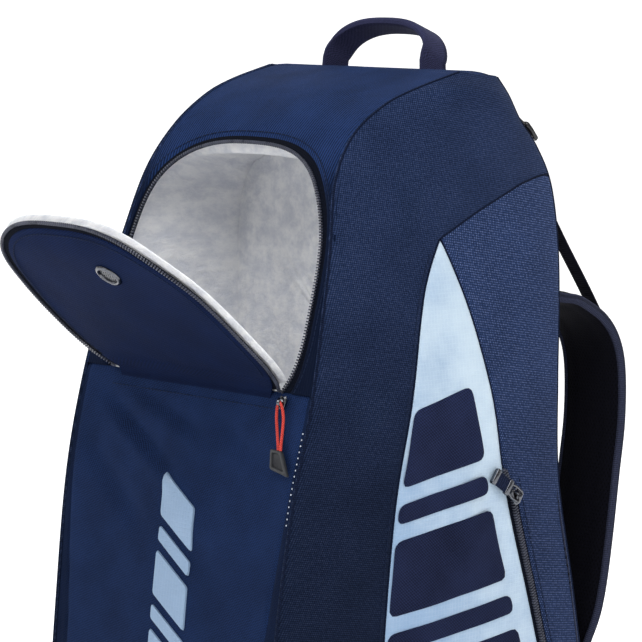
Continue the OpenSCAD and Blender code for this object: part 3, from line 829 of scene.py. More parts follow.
def front_fold(x, s):
    """Soft folds of the front wall: inward depth at x and s."""
    low = uneven(x, s, 3, 150, 0.9, 60, 0.3)
    folds = (crease(x, s, (-104, -22), (-4, -74), 6, 5.2)
             + crease(x, s, (-70, -14), (20, -40), 5, 3.2)
             + crease(x, s, (-118, -60), (-30, -120), 10, 3.4)
             + crease(x, s, (30, -26), (104, -60), 7, 2.0)
             + crease(x, s, (-20, -110), (70, -150), 12, 1.4))
    ridges = (crease(x, s, (-98, -36), (4, -88), 7, 2.6)
              + crease(x, s, (-60, -28), (30, -56), 6, 1.4))
    beyond = abs(x) - (half_at(FRONT, s) - gusset(s))
    seam = 1.3 * np.exp(-(beyond / 1.6) ** 2) + 2.2 * smooth(0, 16, beyond)
    return low + folds - ridges + seam


def on_wall(name, face, x, s, depth, thick, material, place=as_is):
    """A sheet on the front or back wall over a grid of x and s."""
    return sheet(name, place(wall_pt(face, x, s, depth)), place(wall_pt(face, x, s, depth + thick)),
                 material, np.stack([x, s], -1))


def wall_sheet(name, face, s0, s1, material, fold, thick, step):
    """A whole-width panel of the front or back wall, turned in at all four edges."""
    ss = s0 + spread(s1 - s0, step=step)
    us = spread(2, near=WALL_NEAR, step=0.05) - 1
    s, u = np.meshgrid(ss, us, indexing="ij")
    half = half_at(face, s) - SEAM
    x = u * half
    depth = (seam_dip(half - abs(x)) + fold(x, s) * smooth(0, 14, half - abs(x))
             + seam_dip(s - s0) + seam_dip(s1 - s))
    inner = wall_pt(face, x * (1 - 0.6 / half), s, depth + thick)
    return sheet(name, wall_pt(face, x, s, depth), inner, material, np.stack([x, s], -1))


def build_front():
    """The front panel, and the dotted row beside its right seam."""
    put(wall_sheet("front_cloth", FRONT, S_BASE[0], -0.3, M["front"], front_fold, CLOTH, 5),
        "root", "navy_fabric", "front_panel")
    s = np.linspace(-100, -26, 60)
    x = half_at(FRONT, s) - 6
    depth = seam_dip(6) + front_fold(x, s) * smooth(0, 14, 6) - 0.15
    path = wall_pt(FRONT, x, s, depth)
    stitches("front_dots", path, path - wall_pt(FRONT, x, s, depth + 1), M["white_thread"], 4.6, 1.2)


def ring_sheet(name, face, shape, material):
    """The wall round an arched opening, out to the seams."""
    k = np.linspace(0, 1, 121)
    ax, as_ = arch(shape, 6.4, k)
    top = S_TOP[face]
    leg = 0.36  # share of the outer edge that runs up each side seam
    s_edge = top * np.clip(np.minimum(k, 1 - k) / leg, 0, 1)
    f = np.clip((1 - 2 * k) / (1 - 2 * leg), -1, 1)
    bx = f * (half_at(face, s_edge) - SEAM)
    g = np.array([0, 0.02, 0.05, 0.1, 0.2, 0.35, 0.5, 0.65, 0.8, 0.9, 0.95, 0.98, 1])
    x = mix(ax[:, None], bx[:, None], g)
    s = mix(as_[:, None], s_edge[:, None], g)
    near_hole = np.hypot(x - ax[:, None], s - as_[:, None])
    near_side = half_at(face, s) - SEAM - abs(x)
    depth = (seam_dip(near_hole, 1.8, 3) + seam_dip(near_side) + seam_dip(top - s, 1.2, 2.5)
             + ripple(x, s, 90, 9) * 0.7 * smooth(0, 14, near_hole) * smooth(0, 14, near_side))
    return on_wall(name, face, x, s, depth, CLOTH, material)


def build_ridge():
    """The strip of cloth along the top."""
    front, back = edge_at(FRONT, S_TOP[0]), edge_at(BACK, S_TOP[1])
    v = np.array([0.01, 0.03, 0.07, 0.15, 0.3, 0.45, 0.6, 0.75, 0.87, 0.94, 0.98, 0.995])
    half = half_at(FRONT, S_TOP[0]) - SEAM
    u = spread(2, near=WALL_NEAR, step=0.05) - 1
    vv, uu = np.meshgrid(v, u, indexing="ij")
    span = np.linalg.norm(back - front)
    dip = (seam_dip(half * (1 - abs(uu))) + seam_dip(vv * span, 1.2, 2.5)
           + seam_dip((1 - vv) * span, 1.2, 2.5))
    rise = 2.5 * 4 * vv * (1 - vv) - dip
    outer = np.stack([uu * half, mix(front[0], back[0], vv), mix(front[1], back[1], vv) + rise], -1)
    put(sheet("ridge_cloth", outer, outer - [0, 0, CLOTH], M["top"], outer[..., :2]),
        "root", "navy_fabric", "ridge_panel")


# ================================================================ side walls
# Seam lines as places (t, s) on the side wall
ACCENT_FRONT = np.array([[0, 0.27], [2, 0.27], [4, 0.293], [5, 0.31], [6, 0.326],
                         [7, 0.335], [7.6, 0.35], [8.12, 0.398], [8.6, 0.443]])
ACCENT_REAR = np.array([[0, 0.862], [1.5, 0.867], [2.2, 0.875], [3, 0.855], [3.9, 0.805],
                        [4.7, 0.752], [5.3, 0.708], [5.8, 0.671], [7, 0.54], [7.6, 0.467],
                        [8.12, 0.402], [8.6, 0.342]])
YOKE = np.array([[8.12, 0.4], [8.5, 0.565], [9, 0.81], [9.13, 0.9], [9.19, 0.96], [9.21, 1]])
YOKE_T = YOKE[0, 0]  # where the three side panels meet
SIDE_RISE = 62  # millimetres up the side for one step of t, about
ZIP_LOW, ZIP_HIGH = 1.75, 5.2
ZIP_HALF = 6.5  # half of the zip's bare tape
CORD_DEPTH = 1.5  # of the thin cord in each seam's groove
ACCENT_UNEVEN = (31, 110, 1.5, 36, 0.5)


def line_at(table, t):
    """A seam line's s at t, eased between its points."""
    t = np.asarray(t, float)
    total = 0
    for shift in (-0.3, -0.15, 0, 0.15, 0.3):
        total = total + np.interp(t + shift, table[:, 0], table[:, 1])
    return total / 5


def yoke_t(s):
    """The yoke seam's t at s."""
    return np.interp(s, YOKE[:, 1], YOKE[:, 0])


def side_width(t):
    """The side wall's width from front seam to back seam."""
    v = level(t)
    return v[..., 2] - v[..., 0]


def zip_open(t):
    """0 to 1: where the side zip parts the accent panel from the rear panel."""
    return smooth(ZIP_LOW - 0.15, ZIP_LOW + 0.35, t) * (1 - smooth(ZIP_HIGH - 0.3, ZIP_HIGH + 0.1, t))


def zip_line(t):
    """The middle of the side zip."""
    return line_at(ACCENT_REAR, t) + ZIP_HALF / side_width(t) * zip_open(t)


def spaced(lo, hi, count):
    """Grid of s between two lines, closer together at both."""
    f = 0.5 - 0.5 * np.cos(np.linspace(0, math.pi, count))
    f = mix(np.linspace(0, 1, count), f, 0.75)
    return lo[:, None] + (hi - lo)[:, None] * f[None, :]


def yoke_s(t):
    """The yoke seam's s at t."""
    ss = np.linspace(0.4, 1, 60)
    return np.interp(t, yoke_t(ss), ss)


def side_panel(kind, hand_name, hand, look, ts, lo, hi, count, fold, near):
    """A side panel from seam line lo to seam line hi, turned in at its seams.

    near gives the distances from its seams, from t, s and the distances from both lines.
    """
    s = spaced(lo, hi, count)
    t = np.repeat(ts[:, None], count, 1)
    width = side_width(t)
    distances = near(t, s, (s - lo[:, None]) * width, (hi[:, None] - s) * width)
    depth = fold(s * width, t * SIDE_RISE)
    for d in distances:
        depth = depth * smooth(0, 10, d)
    depth = depth + sum(seam_dip(d) for d in distances)
    outer, inner = (mirrored(side_pt(t, s, depth + d), hand) for d in (0, CLOTH))
    obj = sheet(f"side_{kind}_cloth_{hand_name}", outer, inner, M[look], outer[..., 1:])
    put(obj, "root", "accent_fabric" if kind == "accent" else "navy_fabric", f"side_{kind}_{hand_name}")


def build_side(hand_name, hand):
    """The three panels of a side, its seam cords, its zip and its stitches."""
    # the upper panel: a long front strip that widens into the yoke
    ts = np.concatenate([np.linspace(0, 8.0, 70), np.linspace(8.05, 9.0, 17),
                         np.linspace(9.04, 9.24, 11), np.linspace(9.3, TOP, 44)])
    seam = line_at(ACCENT_FRONT, np.minimum(ts, YOKE_T)) - SEAM / side_width(ts)
    hi = np.where(ts < YOKE_T, seam, yoke_s(ts))

    def near_upper(t, s, front, rear):
        below = np.where(t > YOKE_T, (t - yoke_t(s)) * 50, 60)
        return front, np.minimum(rear, np.maximum(below, 0))
    side_panel("upper", hand_name, hand, "side", ts, 0 * ts, hi, 30,
               lambda a, b: uneven(a, b, 21, 120, 1.3, 45, 0.35), near_upper)

    # the accent panel
    ts = np.concatenate([[0, 0.06, 0.15], np.linspace(0.3, 7.6, 70), np.linspace(7.66, 8.1, 9)])
    lo = line_at(ACCENT_FRONT, ts) + SEAM / side_width(ts)
    hi = np.maximum(line_at(ACCENT_REAR, ts) - SEAM / side_width(ts), lo + 0.0025)
    side_panel("accent", hand_name, hand, "accent", ts, lo, hi, 30,
               lambda a, b: uneven(a, b, *ACCENT_UNEVEN) + crease(a, b, (150, 330), (250, 250), 10, 1.6),
               lambda t, s, front, rear: (front, rear))

    # the rear panel, from the zip and the accent panel to the back seam
    ts = np.concatenate([[0, 0.06, 0.15], np.linspace(0.3, 8.0, 76), np.linspace(8.05, 9.2, 22)])
    seam = (line_at(ACCENT_REAR, np.minimum(ts, YOKE_T))
            + (SEAM + 2 * ZIP_HALF * zip_open(ts)) / side_width(ts))
    lo = np.where(ts < YOKE_T, seam, yoke_s(ts))
    side_panel("rear", hand_name, hand, "rear", ts, lo, 1 + 0 * ts, 24,
               lambda a, b: uneven(a, b, 41, 100, 1.2, 40, 0.3),
               lambda t, s, front, rear: (np.minimum(front, np.clip((yoke_t(s) - t) * 50, 0, 60)), rear))

    # seam cord in the grooves
    def groove(name, t, s):
        path = mirrored(side_pt(t, s, CORD_DEPTH), hand)
        put(sweep(name, path, circle(0.8, 8), (0, 1, 0.01), M["binding"]), "root", "navy_fabric")
    tt = np.linspace(0.05, 8.1, 90)
    groove(f"accent_front_cord_{hand_name}", tt, line_at(ACCENT_FRONT, tt))
    ss = np.linspace(0.4, 0.995, 50)
    groove(f"yoke_cord_{hand_name}", yoke_t(ss), ss)
    tt = np.linspace(5.25, 8.1, 40)
    groove(f"accent_rear_cord_{hand_name}", tt, line_at(ACCENT_REAR, tt))
    tt = np.linspace(0.05, TOP - 0.02, 150)
    groove(f"front_seam_cord_{hand_name}", tt, np.full_like(tt, 0.0))
    groove(f"back_seam_cord_{hand_name}", tt, np.full_like(tt, 1.0))

    # zip tape and teeth
    tt = np.linspace(ZIP_LOW, ZIP_HIGH, 70)
    middle = zip_line(tt)
    w = side_width(tt)
    offs = np.array([-1, -0.72, -0.4, -0.12, 0.12, 0.4, 0.72, 1])
    s = middle[:, None] + offs * (ZIP_HALF + 2.5) / w[:, None]
    t = np.repeat(tt[:, None], len(offs), 1)
    depth = 1.4 + 0.5 * abs(offs)[None, :] + 0 * t
    outer, inner = (mirrored(side_pt(t, s, depth + d), hand) for d in (0, 0.8))
    uv = np.stack([np.broadcast_to(offs * ZIP_HALF, t.shape), outer[..., 2]], -1)
    put(sheet(f"side_zip_tape_{hand_name}", outer, inner, M["tape"], uv),
        "root", "zip_tape", f"side_tape_{hand_name}")
    rows = []
    for lane in (-1, 1):
        path = mirrored(side_pt(tt, middle + lane * 1.35 / w, 1.3), hand)
        pts, tangent = along_path(path, 2.4, 1.2 if lane > 0 else 0)
        rows.append(studs(f"teeth_{lane}", pts, tangent, (hand, 0, 0), (1.3, 2.8, 2.1), M["tooth"]))
    put(joined(f"side_zip_teeth_{hand_name}", rows), "root", "zip_coil", f"side_teeth_{hand_name}")

    # topstitching beside the seams
    def row(name, t, s, offset):
        path = mirrored(side_pt(t, s + offset / side_width(t), -0.05), hand)
        stitches(name, path, (hand, 0, 0))
    tt = np.linspace(0.2, 7.9, 120)
    row(f"stitch_accent_front_{hand_name}", tt, line_at(ACCENT_FRONT, tt), -5.5)
    tt = np.linspace(ZIP_LOW, 5.1, 80)
    row(f"stitch_zip_rear_{hand_name}", tt, line_at(ACCENT_REAR, tt), 2 * ZIP_HALF + 4.6)


# ========================================================== shoe compartment
def zip_row(name, face, shape, grow, place, shift):
    """One row of teeth along an arch."""
    x, s = even_arch(shape, grow, 260)
    path, above = (place(wall_pt(face, x, s, depth)) for depth in (TEETH_DEPTH, TEETH_DEPTH - 1))
    pts, tangent = along_path(path, 2.3, shift)
    return studs(name, pts, tangent, picked(above - path, len(pts)), (1.25, 2.9, 1.7), M["tooth"])


def arch_band(name, face, shape, g0, g1, d0, d1, material, place, thick=0.8, lanes=6, foot=0.0):
    """A band of cloth along an arch, between two offsets and two depths."""
    count = 200
    outer, inner, uv = [], [], []
    for f in np.linspace(0, 1, lanes):
        g, d = mix(g0, g1, f), mix(d0, d1, f)
        x, s = even_arch(shape, g, count, foot)
        outer.append(wall_pt(face, x, s, d))
        inner.append(wall_pt(face, x, s, d + thick))
        uv.append(np.stack([np.full(count, g), run_of(np.stack([x, s], -1))], -1))
    outer, inner, uv = (np.swapaxes(np.array(v), 0, 1) for v in (outer, inner, uv))
    return sheet(name, place(outer), place(inner), material, uv)


def half_zip(name, face, shape, body, place, *nodes):
    """Tape and teeth of half a zip, on the wall round an opening or on the body that closes it."""
    tape_from, tape_to, depth, teeth_at, shift = WALL_HALF if body == "root" else COVER_HALF
    tape = arch_band(f"{name}_tape", face, shape, tape_from, tape_to, depth, TAPE_INNER_DEPTH,
                     M["tape"], place)
    put(tape, body, "zip_tape")
    put(zip_row(f"{name}_teeth", face, shape, teeth_at, place, shift), body, "zip_coil", *nodes)


def build_collar():
    """The wall round the shoe opening, with its half of the zip."""
    put(ring_sheet("front_collar_cloth", FRONT, FLAP, M["collar"]),
        "root", "navy_fabric", "front_collar")
    half_zip("collar_zip", FRONT, FLAP, "root", as_is, "collar_zip")
    x, s = even_arch(FLAP, 11.5, 300)
    path = wall_pt(FRONT, x, s, -0.1)
    stitches("collar_stitch", path, path - wall_pt(FRONT, x, s, 1))


def build_shoe_lining():
    """The grey bag inside: from the mouth out to its wide part and back."""
    steps, foot = 112, 80  # points round a ring, and how many of them are on the mouth's arch
    j = np.arange(steps)
    past = (j - foot) / (steps - foot)
    ax, as_ = arch(FLAP, 4.2, np.minimum(j, foot) / foot)
    mouth_x = np.where(j < foot, ax, mix(-ax[0], ax[0], np.clip(past, 0, 1)))
    mouth_s = np.where(j < foot, np.maximum(as_, 0.8), 0.8)
    phi = np.radians(np.where(j < foot, mix(-30, 210, j / foot), mix(210, 330, past)))
    c, v = np.cos(phi), np.sin(phi)
    wide_x = 119 * np.sign(c) * np.sqrt(abs(c))
    wide_s = 54 + np.where(v > 0, 134, 231) * np.sign(v) * np.sqrt(abs(v))
    wide = wall_pt(FRONT, wide_x, wide_s, 12.5)
    back_y = 9.0
    rings = [wall_pt(FRONT, mix(mouth_x, wide_x, f), mix(mouth_s, wide_s, f), mix(2.2, 12.5, f**0.7))
             for f in np.linspace(0, 1, 5)]
    for f in np.linspace(0, 1, 16)[1:]:
        ring = wide.copy()
        ring[:, 1] = mix(wide[:, 1], back_y, f)
        rings.append(ring)
    centre = np.array([0, back_y, wide[:, 2].mean()])
    rim = rings[-1]
    for f in (0.96, 0.88, 0.75, 0.6, 0.45, 0.3, 0.15, 0.03):
        ring = centre + (rim - centre) * [f, 1, f]
        ring[:, 1] = back_y - 0.3
        rings.append(ring)
    rings = np.array(rings)
    # crumples push the cloth inward only, so that it stays in its space
    core = np.array([0, -50, 520])
    toward = unit(core - rings)
    u = np.broadcast_to(np.linspace(0, 900, steps), rings.shape[:2])
    v = np.broadcast_to((np.arange(len(rings)) * 12.0)[:, None], rings.shape[:2])
    push = 1.2 + uneven(u, v, 51, 55, 1.6, 24, 1.1)
    fade = smooth(0.5, 5, np.arange(len(rings)))[:, None]
    moved = rings + toward * (np.clip(push, 0, None) * fade)[..., None]
    n, m = moved.shape[:2]
    uv = np.stack([moved[..., 0] + moved[..., 1] * 0.5, moved[..., 2]], -1)
    faces = quads(n, m, 0, True, wrap=True)
    faces.append([(n - 1) * m + k for k in range(m)])
    obj = make("shoe_lining_cloth", moved, faces, M["lining"], uv, 60)
    solid = obj.modifiers.new("thick", "SOLIDIFY")
    solid.thickness = 1.0 * MM
    solid.offset = 0
    put(obj, "root", "lining_fabric", "shoe_lining")


def arch_grid(shape, grow, start, margin, rows, cols):
    """Grid of x and s inside an arch, closer together at its edge, and the distance from the edge."""
    top = shape[1] + shape[2] + grow - margin
    a, b = np.linspace(0, 1, rows), np.linspace(-1, 1, cols)
    ss = mix(start, top, np.sin(a * math.pi / 2) * 0.6 + a * 0.4)
    us = np.sin(b * math.pi / 2) * 0.6 + b * 0.4
    s, u = np.meshgrid(ss, us, indexing="ij")
    half = arch_half(shape, grow, s)
    return u * half, s, np.minimum(half - abs(u * half), top - s)


def flap_sheet(name, grow, d0, d1, material, start):
    """A sheet over the whole flap, from depth d0 to d1 of the closed flap."""
    x, s, near = arch_grid(FLAP, grow, start, 0.25, 44, 45)
    depth = flap_fold(x, s) * smooth(0, 10, near)
    outer = opened(wall_pt(FRONT, x, s, d0 + depth + seam_dip(near, 0.9, 2)))
    inner = opened(wall_pt(FRONT, x, s, d1 + depth - seam_dip(near, 0.2, 2)))
    return sheet(name, outer, inner, material, np.stack([x, s], -1))


def flap_fold(x, s):
    """Soft folds of the flap: inward depth at x and s."""
    return (uneven(x, s, 61, 110, 0.8, 40, 0.25)
            + crease(x, s, (-70, 20), (60, 12), 9, 1.2) - crease(x, s, (-80, 34), (70, 26), 10, 1.0))


def fold_strip(name, low, high, depths, sink, material, slot_name):
    """Cloth over the flap's fold: from arc length low on the wall to high on the open flap.

    depths are its depths below the wall's face and below the flap's; both ends dip by sink.
    """
    us = np.linspace(-1, 1, 61)
    corner_low, corner_high = -4.5, 5.5

    def row(s, depth):
        """The strip's points at arc length s: on the wall below the fold, or on the open flap."""
        half = arch_half(FLAP, COVER_CUT, max(0, s))
        x = us * half
        if s < 0:
            dip = 1 - smooth(low, low + 3, s)
            fold = front_fold(x, s) * smooth(0, 14, half_at(FRONT, s) - abs(x))
            return wall_pt(FRONT, x, s, depth + sink * dip + fold)
        dip = smooth(high - 3, high, s)
        fold = flap_fold(x, s) * smooth(0, 10, half - abs(x))
        return opened(wall_pt(FRONT, x, s, depth + sink * dip + fold))
    grids = []
    for extra in (0.0, 1.0):
        below = [row(s, depths[0] + extra) for s in np.linspace(low, corner_low, 5)]
        above = [row(s, depths[1] + extra) for s in np.linspace(corner_high, high, 6)]
        middle = wall_pt(FRONT, us * arch_half(FLAP, COVER_CUT, 0), 0.0, np.mean(depths) + extra)
        turn = [bend(below[-1], middle, above[0], f) for f in np.linspace(0, 1, 9)[1:-1]]
        grids.append(np.array(below + turn + above))
    run = np.linspace(low, high, len(grids[0]))
    uv = np.stack(np.broadcast_arrays(us[None] * 100, run[:, None]), -1)
    bends(sheet(name, *grids, material, uv), slot_name, (), "flap",
          fold_mark(low + 1.5), fold_mark(high - 2, True))


def fold_mark(s, on_flap=False):
    """A point at arc length s on the middle line, in metres, handed to bends as an end of the fold."""
    p = wall_pt(FRONT, 0.0, s, 0.0)
    return tuple(float(c) * MM for c in (opened(p) if on_flap else p))


def build_flap():
    """The flap's two cloths, its fold, its half of the zip, its hem and stitches."""
    put(flap_sheet("flap_cloth", COVER_CUT, 0.0, 2.8, M["flap"], 3.0),
        "flap", "navy_fabric", "flap_outer")
    put(flap_sheet("flap_lining_cloth", -1.5, 3.1, 4.1, M["lining"], 7.0),
        "flap", "lining_fabric", "flap_lining")
    # the fold strip takes the flap's darker navy: painted shade over the fold's rounding
    fold_strip("fold_cloth", -8, 17, (-0.4, -0.3), 1.2, M["flap"], "navy_fabric")
    x, s = np.linspace(-99, 99, 120), -13.5
    path = wall_pt(FRONT, x, s, front_fold(x, s) + 0.1)
    stitches("hem_stitch", path, wall_pt(FRONT, x, s, -1) - wall_pt(FRONT, x, s, 0))
    fold_strip("fold_lining", -7, 16, (3.4, 3.6), 1.0, M["lining"], "lining_fabric")
    half_zip("flap_zip", FRONT, FLAP, "flap", opened, "flap_zip")
    # the lining's hem stands beyond the teeth as a pale rim
    put(arch_band("flap_lining_hem", FRONT, FLAP, -4.0, 1.6, 3.3, 6.8, M["lining"], opened, 0.7, lanes=7,
                  foot=4.5), "flap", "lining_fabric")
    x, s = even_arch(FLAP, -11.5, 280)
    keep = s > 18
    path = opened(wall_pt(FRONT, x[keep], s[keep], -0.2))
    up = path - opened(wall_pt(FRONT, x[keep], s[keep], 1))
    stitches("flap_stitch", path, up, body="flap")


# ------------------------------------------------------------------- eyelet
EYELET = (27, 138)
EYELET_R = 11


def local_frame(face, x, s, place):
    """Origin, across, up and out of the front wall, or of a cover on it, at x, s."""
    o = place(wall_pt(face, x, s))
    side = unit(place(wall_pt(face, x + 1, s)) - o)
    out = unit(np.cross(side, place(wall_pt(face, x, s + 1)) - o))
    return o, side, np.cross(out, side), out


def lathe(name, profile, origin, axes, material, n=48):
    """A turned piece: profile of (radius, height) round the out axis of a frame."""
    profile = np.asarray(profile, float)
    ring = circle(1, n) @ np.array(axes[:2])
    pts = origin + profile[:, :1, None] * ring[None] + profile[:, 1:, None] * axes[2]
    return make(name, pts, quads(len(profile), n, wrap=True), material, sharp=35)


def build_eyelet():
    """The vent eyelet and its perforated plate."""
    o, across, up, out = local_frame(FRONT, *EYELET, opened)
    axes = (across, up, out)
    r = EYELET_R
    profile = [(r - 3.4, -5), (r - 3.4, 1.2), (r - 3.0, 1.9), (r - 2.2, 2.3), (r - 1.0, 2.1),
               (r, 1.3), (r + 0.3, 0.7), (r + 0.1, 0.2), (r - 2.4, 0.1), (r - 2.4, -4.4),
               (r - 0.6, -4.6), (r, -5.0), (r - 0.6, -5.5), (r - 3.0, -5.6), (r - 3.4, -5)]
    put(lathe("eyelet_ring", profile, o, axes, M["metal"]), "flap", "dark_metal", "vent_eyelet")
    disc = r - 3.3
    step = 2.3
    bars = []
    # perforated disc: a lattice of flat rings
    for i in range(-3, 4):
        for j in range(-3, 4):
            x, y = step * (i + 0.5 * (j % 2)), step * 0.87 * j
            if math.hypot(x, y) < disc - 0.9:
                c = o + across * x + up * y + out * 0.3
                ring = [(0.75, -0.4), (0.75, 0.4), (1.2, 0.4), (1.2, -0.4), (0.75, -0.4)]
                bars.append(lathe("hole", ring, c, axes, M["metal"], 12))
    plate = [(disc, -0.3), (disc, 0.25), (disc - 1.3, 0.3), (disc - 1.3, -0.35), (disc, -0.3)]
    bars.append(lathe("plate", plate, o + out * 0.2, axes, M["metal"]))
    put(joined("eyelet_mesh", bars), "flap", "dark_metal", "vent_mesh")


# ================================================================== sliders
def at_wall(face, x, s, depth):
    """Frame of a slider on the front or back wall: origin, across, up the zip, out."""
    o = wall_pt(face, x, s, depth)
    n = inward(face, s)
    out = np.array([0, -n[0], -n[1]])
    across = np.array([1.0, 0, 0]) if face == FRONT else np.array([-1.0, 0, 0])
    return o, across, np.cross(out, across), out


def in_frame(frame_axes, points):
    """Points of a frame, as points of the bag."""
    o, across, up, out = frame_axes
    p = np.asarray(points, float)
    return o + p[..., :1] * across + p[..., 1:2] * up + p[..., 2:] * out


def block(name, f, outline, z0, z1, material, bevel=0.5):
    """An outline in the frame's plane, raised from z0 to z1 with bevelled edges."""
    outline = np.asarray(outline, float)
    away = unit(outline - outline.mean(0))
    small = outline - away * bevel
    tiny = outline - away * bevel * 1.6
    levels = [(small, z0), (outline, z0 + bevel), (outline, z1 - bevel),
              (mix(outline, small, 0.65), z1 - bevel * 0.3), (tiny, z1)]
    pts = np.concatenate([np.column_stack([o, np.full(len(o), z)]) for o, z in levels])
    return make(name, in_frame(f, pts), tube_faces(len(levels), len(outline)), material, sharp=50)


def rounded(points, r=1.0, n=4):
    """A polygon with its corners rounded."""
    p = np.asarray(points, float)
    out = []
    for i in range(len(p)):
        a, b, c = p[i - 1], p[i], p[(i + 1) % len(p)]
        u, v = a - b, c - b
        k = min(r, np.linalg.norm(u) / 2.1, np.linalg.norm(v) / 2.1)
        out += [bend(b + unit(u) * k, b, b + unit(v) * k, f) for f in np.linspace(0, 1, n + 1)]
    return np.array(out)


def slider_body(name, f, length=13, width=10):
    """A zip slider: two-lobed body and a bridge for its pull."""
    h, w = length / 2, width / 2
    outline = rounded([(-w * 0.95, h * 0.55), (-w * 0.62, h), (-w * 0.14, h * 0.78),
                       (w * 0.14, h * 0.78), (w * 0.62, h), (w * 0.95, h * 0.55),
                       (w * 0.62, -h), (-w * 0.62, -h)], 2.2)
    core = rounded([(-w * 0.5, h * 0.6), (w * 0.5, h * 0.6), (w * 0.4, -h * 0.8), (-w * 0.4, -h * 0.8)],
                   1)
    parts = [block("plate", f, outline, 0.9, 2.9, M["metal"], 0.7),
             block("core", f, core, 0.2, 1.2, M["metal"], 0.2)]
    bridge = in_frame(f, curve_through([(0, -h * 0.62, 2.4), (0, -h * 0.5, 4.6), (0, -1.6, 6.0),
                                        (0, 0.4, 6.2), (0, h * 0.42, 5.2), (0, h * 0.62, 2.5)], 6))
    parts.append(sweep("bridge", bridge, ribbon_section(3.2, 1.2), f[1], M["metal"]))
    return joined(name, parts)


def box(x0, x1, y0, y1):
    """The corners of a rectangle."""
    return [(x0, y0), (x1, y0), (x1, y1), (x0, y1)]


def ring_loop(name, f, points, r, material):
    """A closed round wire through points of a frame's plane."""
    p = np.asarray(points, float)
    p = np.vstack([p, p[:1]])
    path = in_frame(f, p)
    t = tangents(path)
    t[0] = t[-1] = unit(path[1] - path[-2])
    side = np.broadcast_to(f[3], path.shape)
    across = np.cross(t, side)
    wire = circle(r, 8)
    pts = path[:-1, None] + wire[:, :1] * side[:-1, None] + wire[:, 1:] * across[:-1, None]
    k, m = pts.shape[:2]
    faces = [[v % (k * m) for v in f] for f in quads(k + 1, m, wrap=True)]
    return make(name, pts, faces, material)


def turned(frame_axes, degrees, lift=0.0):
    """The frame turned about its out axis and raised along it."""
    o, across, up, out = frame_axes
    c, s = math.cos(math.radians(degrees)), math.sin(math.radians(degrees))
    return o + out * lift, across * c + up * s, up * c - across * s, out


# Places of the sliders' bases at rest: x, s and depth of the wall
SHOE_SLIDER = (107.5, -8, -0.8)
LID_SLIDER = (93.3, 52, -2.1)
CORD_LEN = 38
PULL_HANG = 12  # turn of the red pull in the wall's plane, in degrees
SIDE_SLIDER, SIDE_RUN_END = (4.95, 0.752), (2.6, 0.878)  # t and s
SIDE_PULL_TURN, SIDE_PULL_LIFT = 38, 5.4


def build_shoe_slider():
    """The shoe zip's slider, its red cord pull and the pull's moulded end."""
    f = at_wall(FRONT, *SHOE_SLIDER)
    put(slider_body("shoe_slider_body", f, 11, 8.4), "shoe_slider", "dark_metal", "shoe_slider")
    # one cord: up from the tip, through the bridge and back down
    g = turned(f, PULL_HANG)
    right = [(1.3, -CORD_LEN + 0.6, 3.1), (1.5, -33, 3.2), (2.6, -24, 3.3), (3.7, -13, 3.8),
             (2.8, -5, 4.6), (1.4, -1.6, 5.0)]
    left = [(-x, y, z) for x, y, z in right[::-1]]
    path = in_frame(g, curve_through(right + [(0, 0.2, 5.2)] + left, 7))
    cord = sweep("shoe_pull_loop", path, circle(1.15, 10), f[3], M["cord"])
    put(cord, "shoe_pull", "red_cord", "shoe_pull_cord")
    # a flat slanted end: a grey rim round a dark middle
    corners = [(-8.4, 3.4), (3.0, 0.4), (10.6, -20), (-8.4, -12)]
    inner = [(-6.2, 0.2), (1.6, -1.8), (6.6, -15.2), (-6.2, -10.4)]
    tip, window = rounded(corners, 1.6), rounded(inner, 1.2)
    for outline in (tip, window):
        outline[:, 1] -= CORD_LEN
    m = len(tip)
    # shares of the way from the window to the outside, and heights
    levels = [(0, 1.6), (0, 4.6), (0.18, 5.2), (0.75, 5.2), (1, 4.4), (1, 2.1), (0.8, 1.5),
              (0.15, 1.5), (0, 1.6)]
    pts = np.concatenate([np.column_stack([mix(window, tip, f), np.full(m, z)]) for f, z in levels])
    faces = quads(len(levels), m, 0, True, wrap=True)
    rim = make("tip_frame", in_frame(g, pts), faces, M["rubber_edge"])
    plate = block("tip_plate", g, mix(window, tip, 0.1), 2.2, 4.0, M["rubber"], 0.3)
    put(joined("shoe_pull_end", [rim, plate]), "shoe_pull", "black_rubber", "shoe_pull_tip")


def side_frame(hand):
    """Frame of a side slider: origin, across, up the zip, out."""
    o = side_pt(*SIDE_SLIDER, -2.2)
    run = side_pt(*SIDE_SLIDER) - side_pt(*SIDE_RUN_END)
    lean = math.atan2(-run[1], run[2])
    up = np.array([0, -math.sin(lean), math.cos(lean)])
    across = np.array([0, math.cos(lean), math.sin(lean)])
    o, out = o * [hand, 1, 1], np.array([hand, 0.0, 0])
    return o, across, up, out


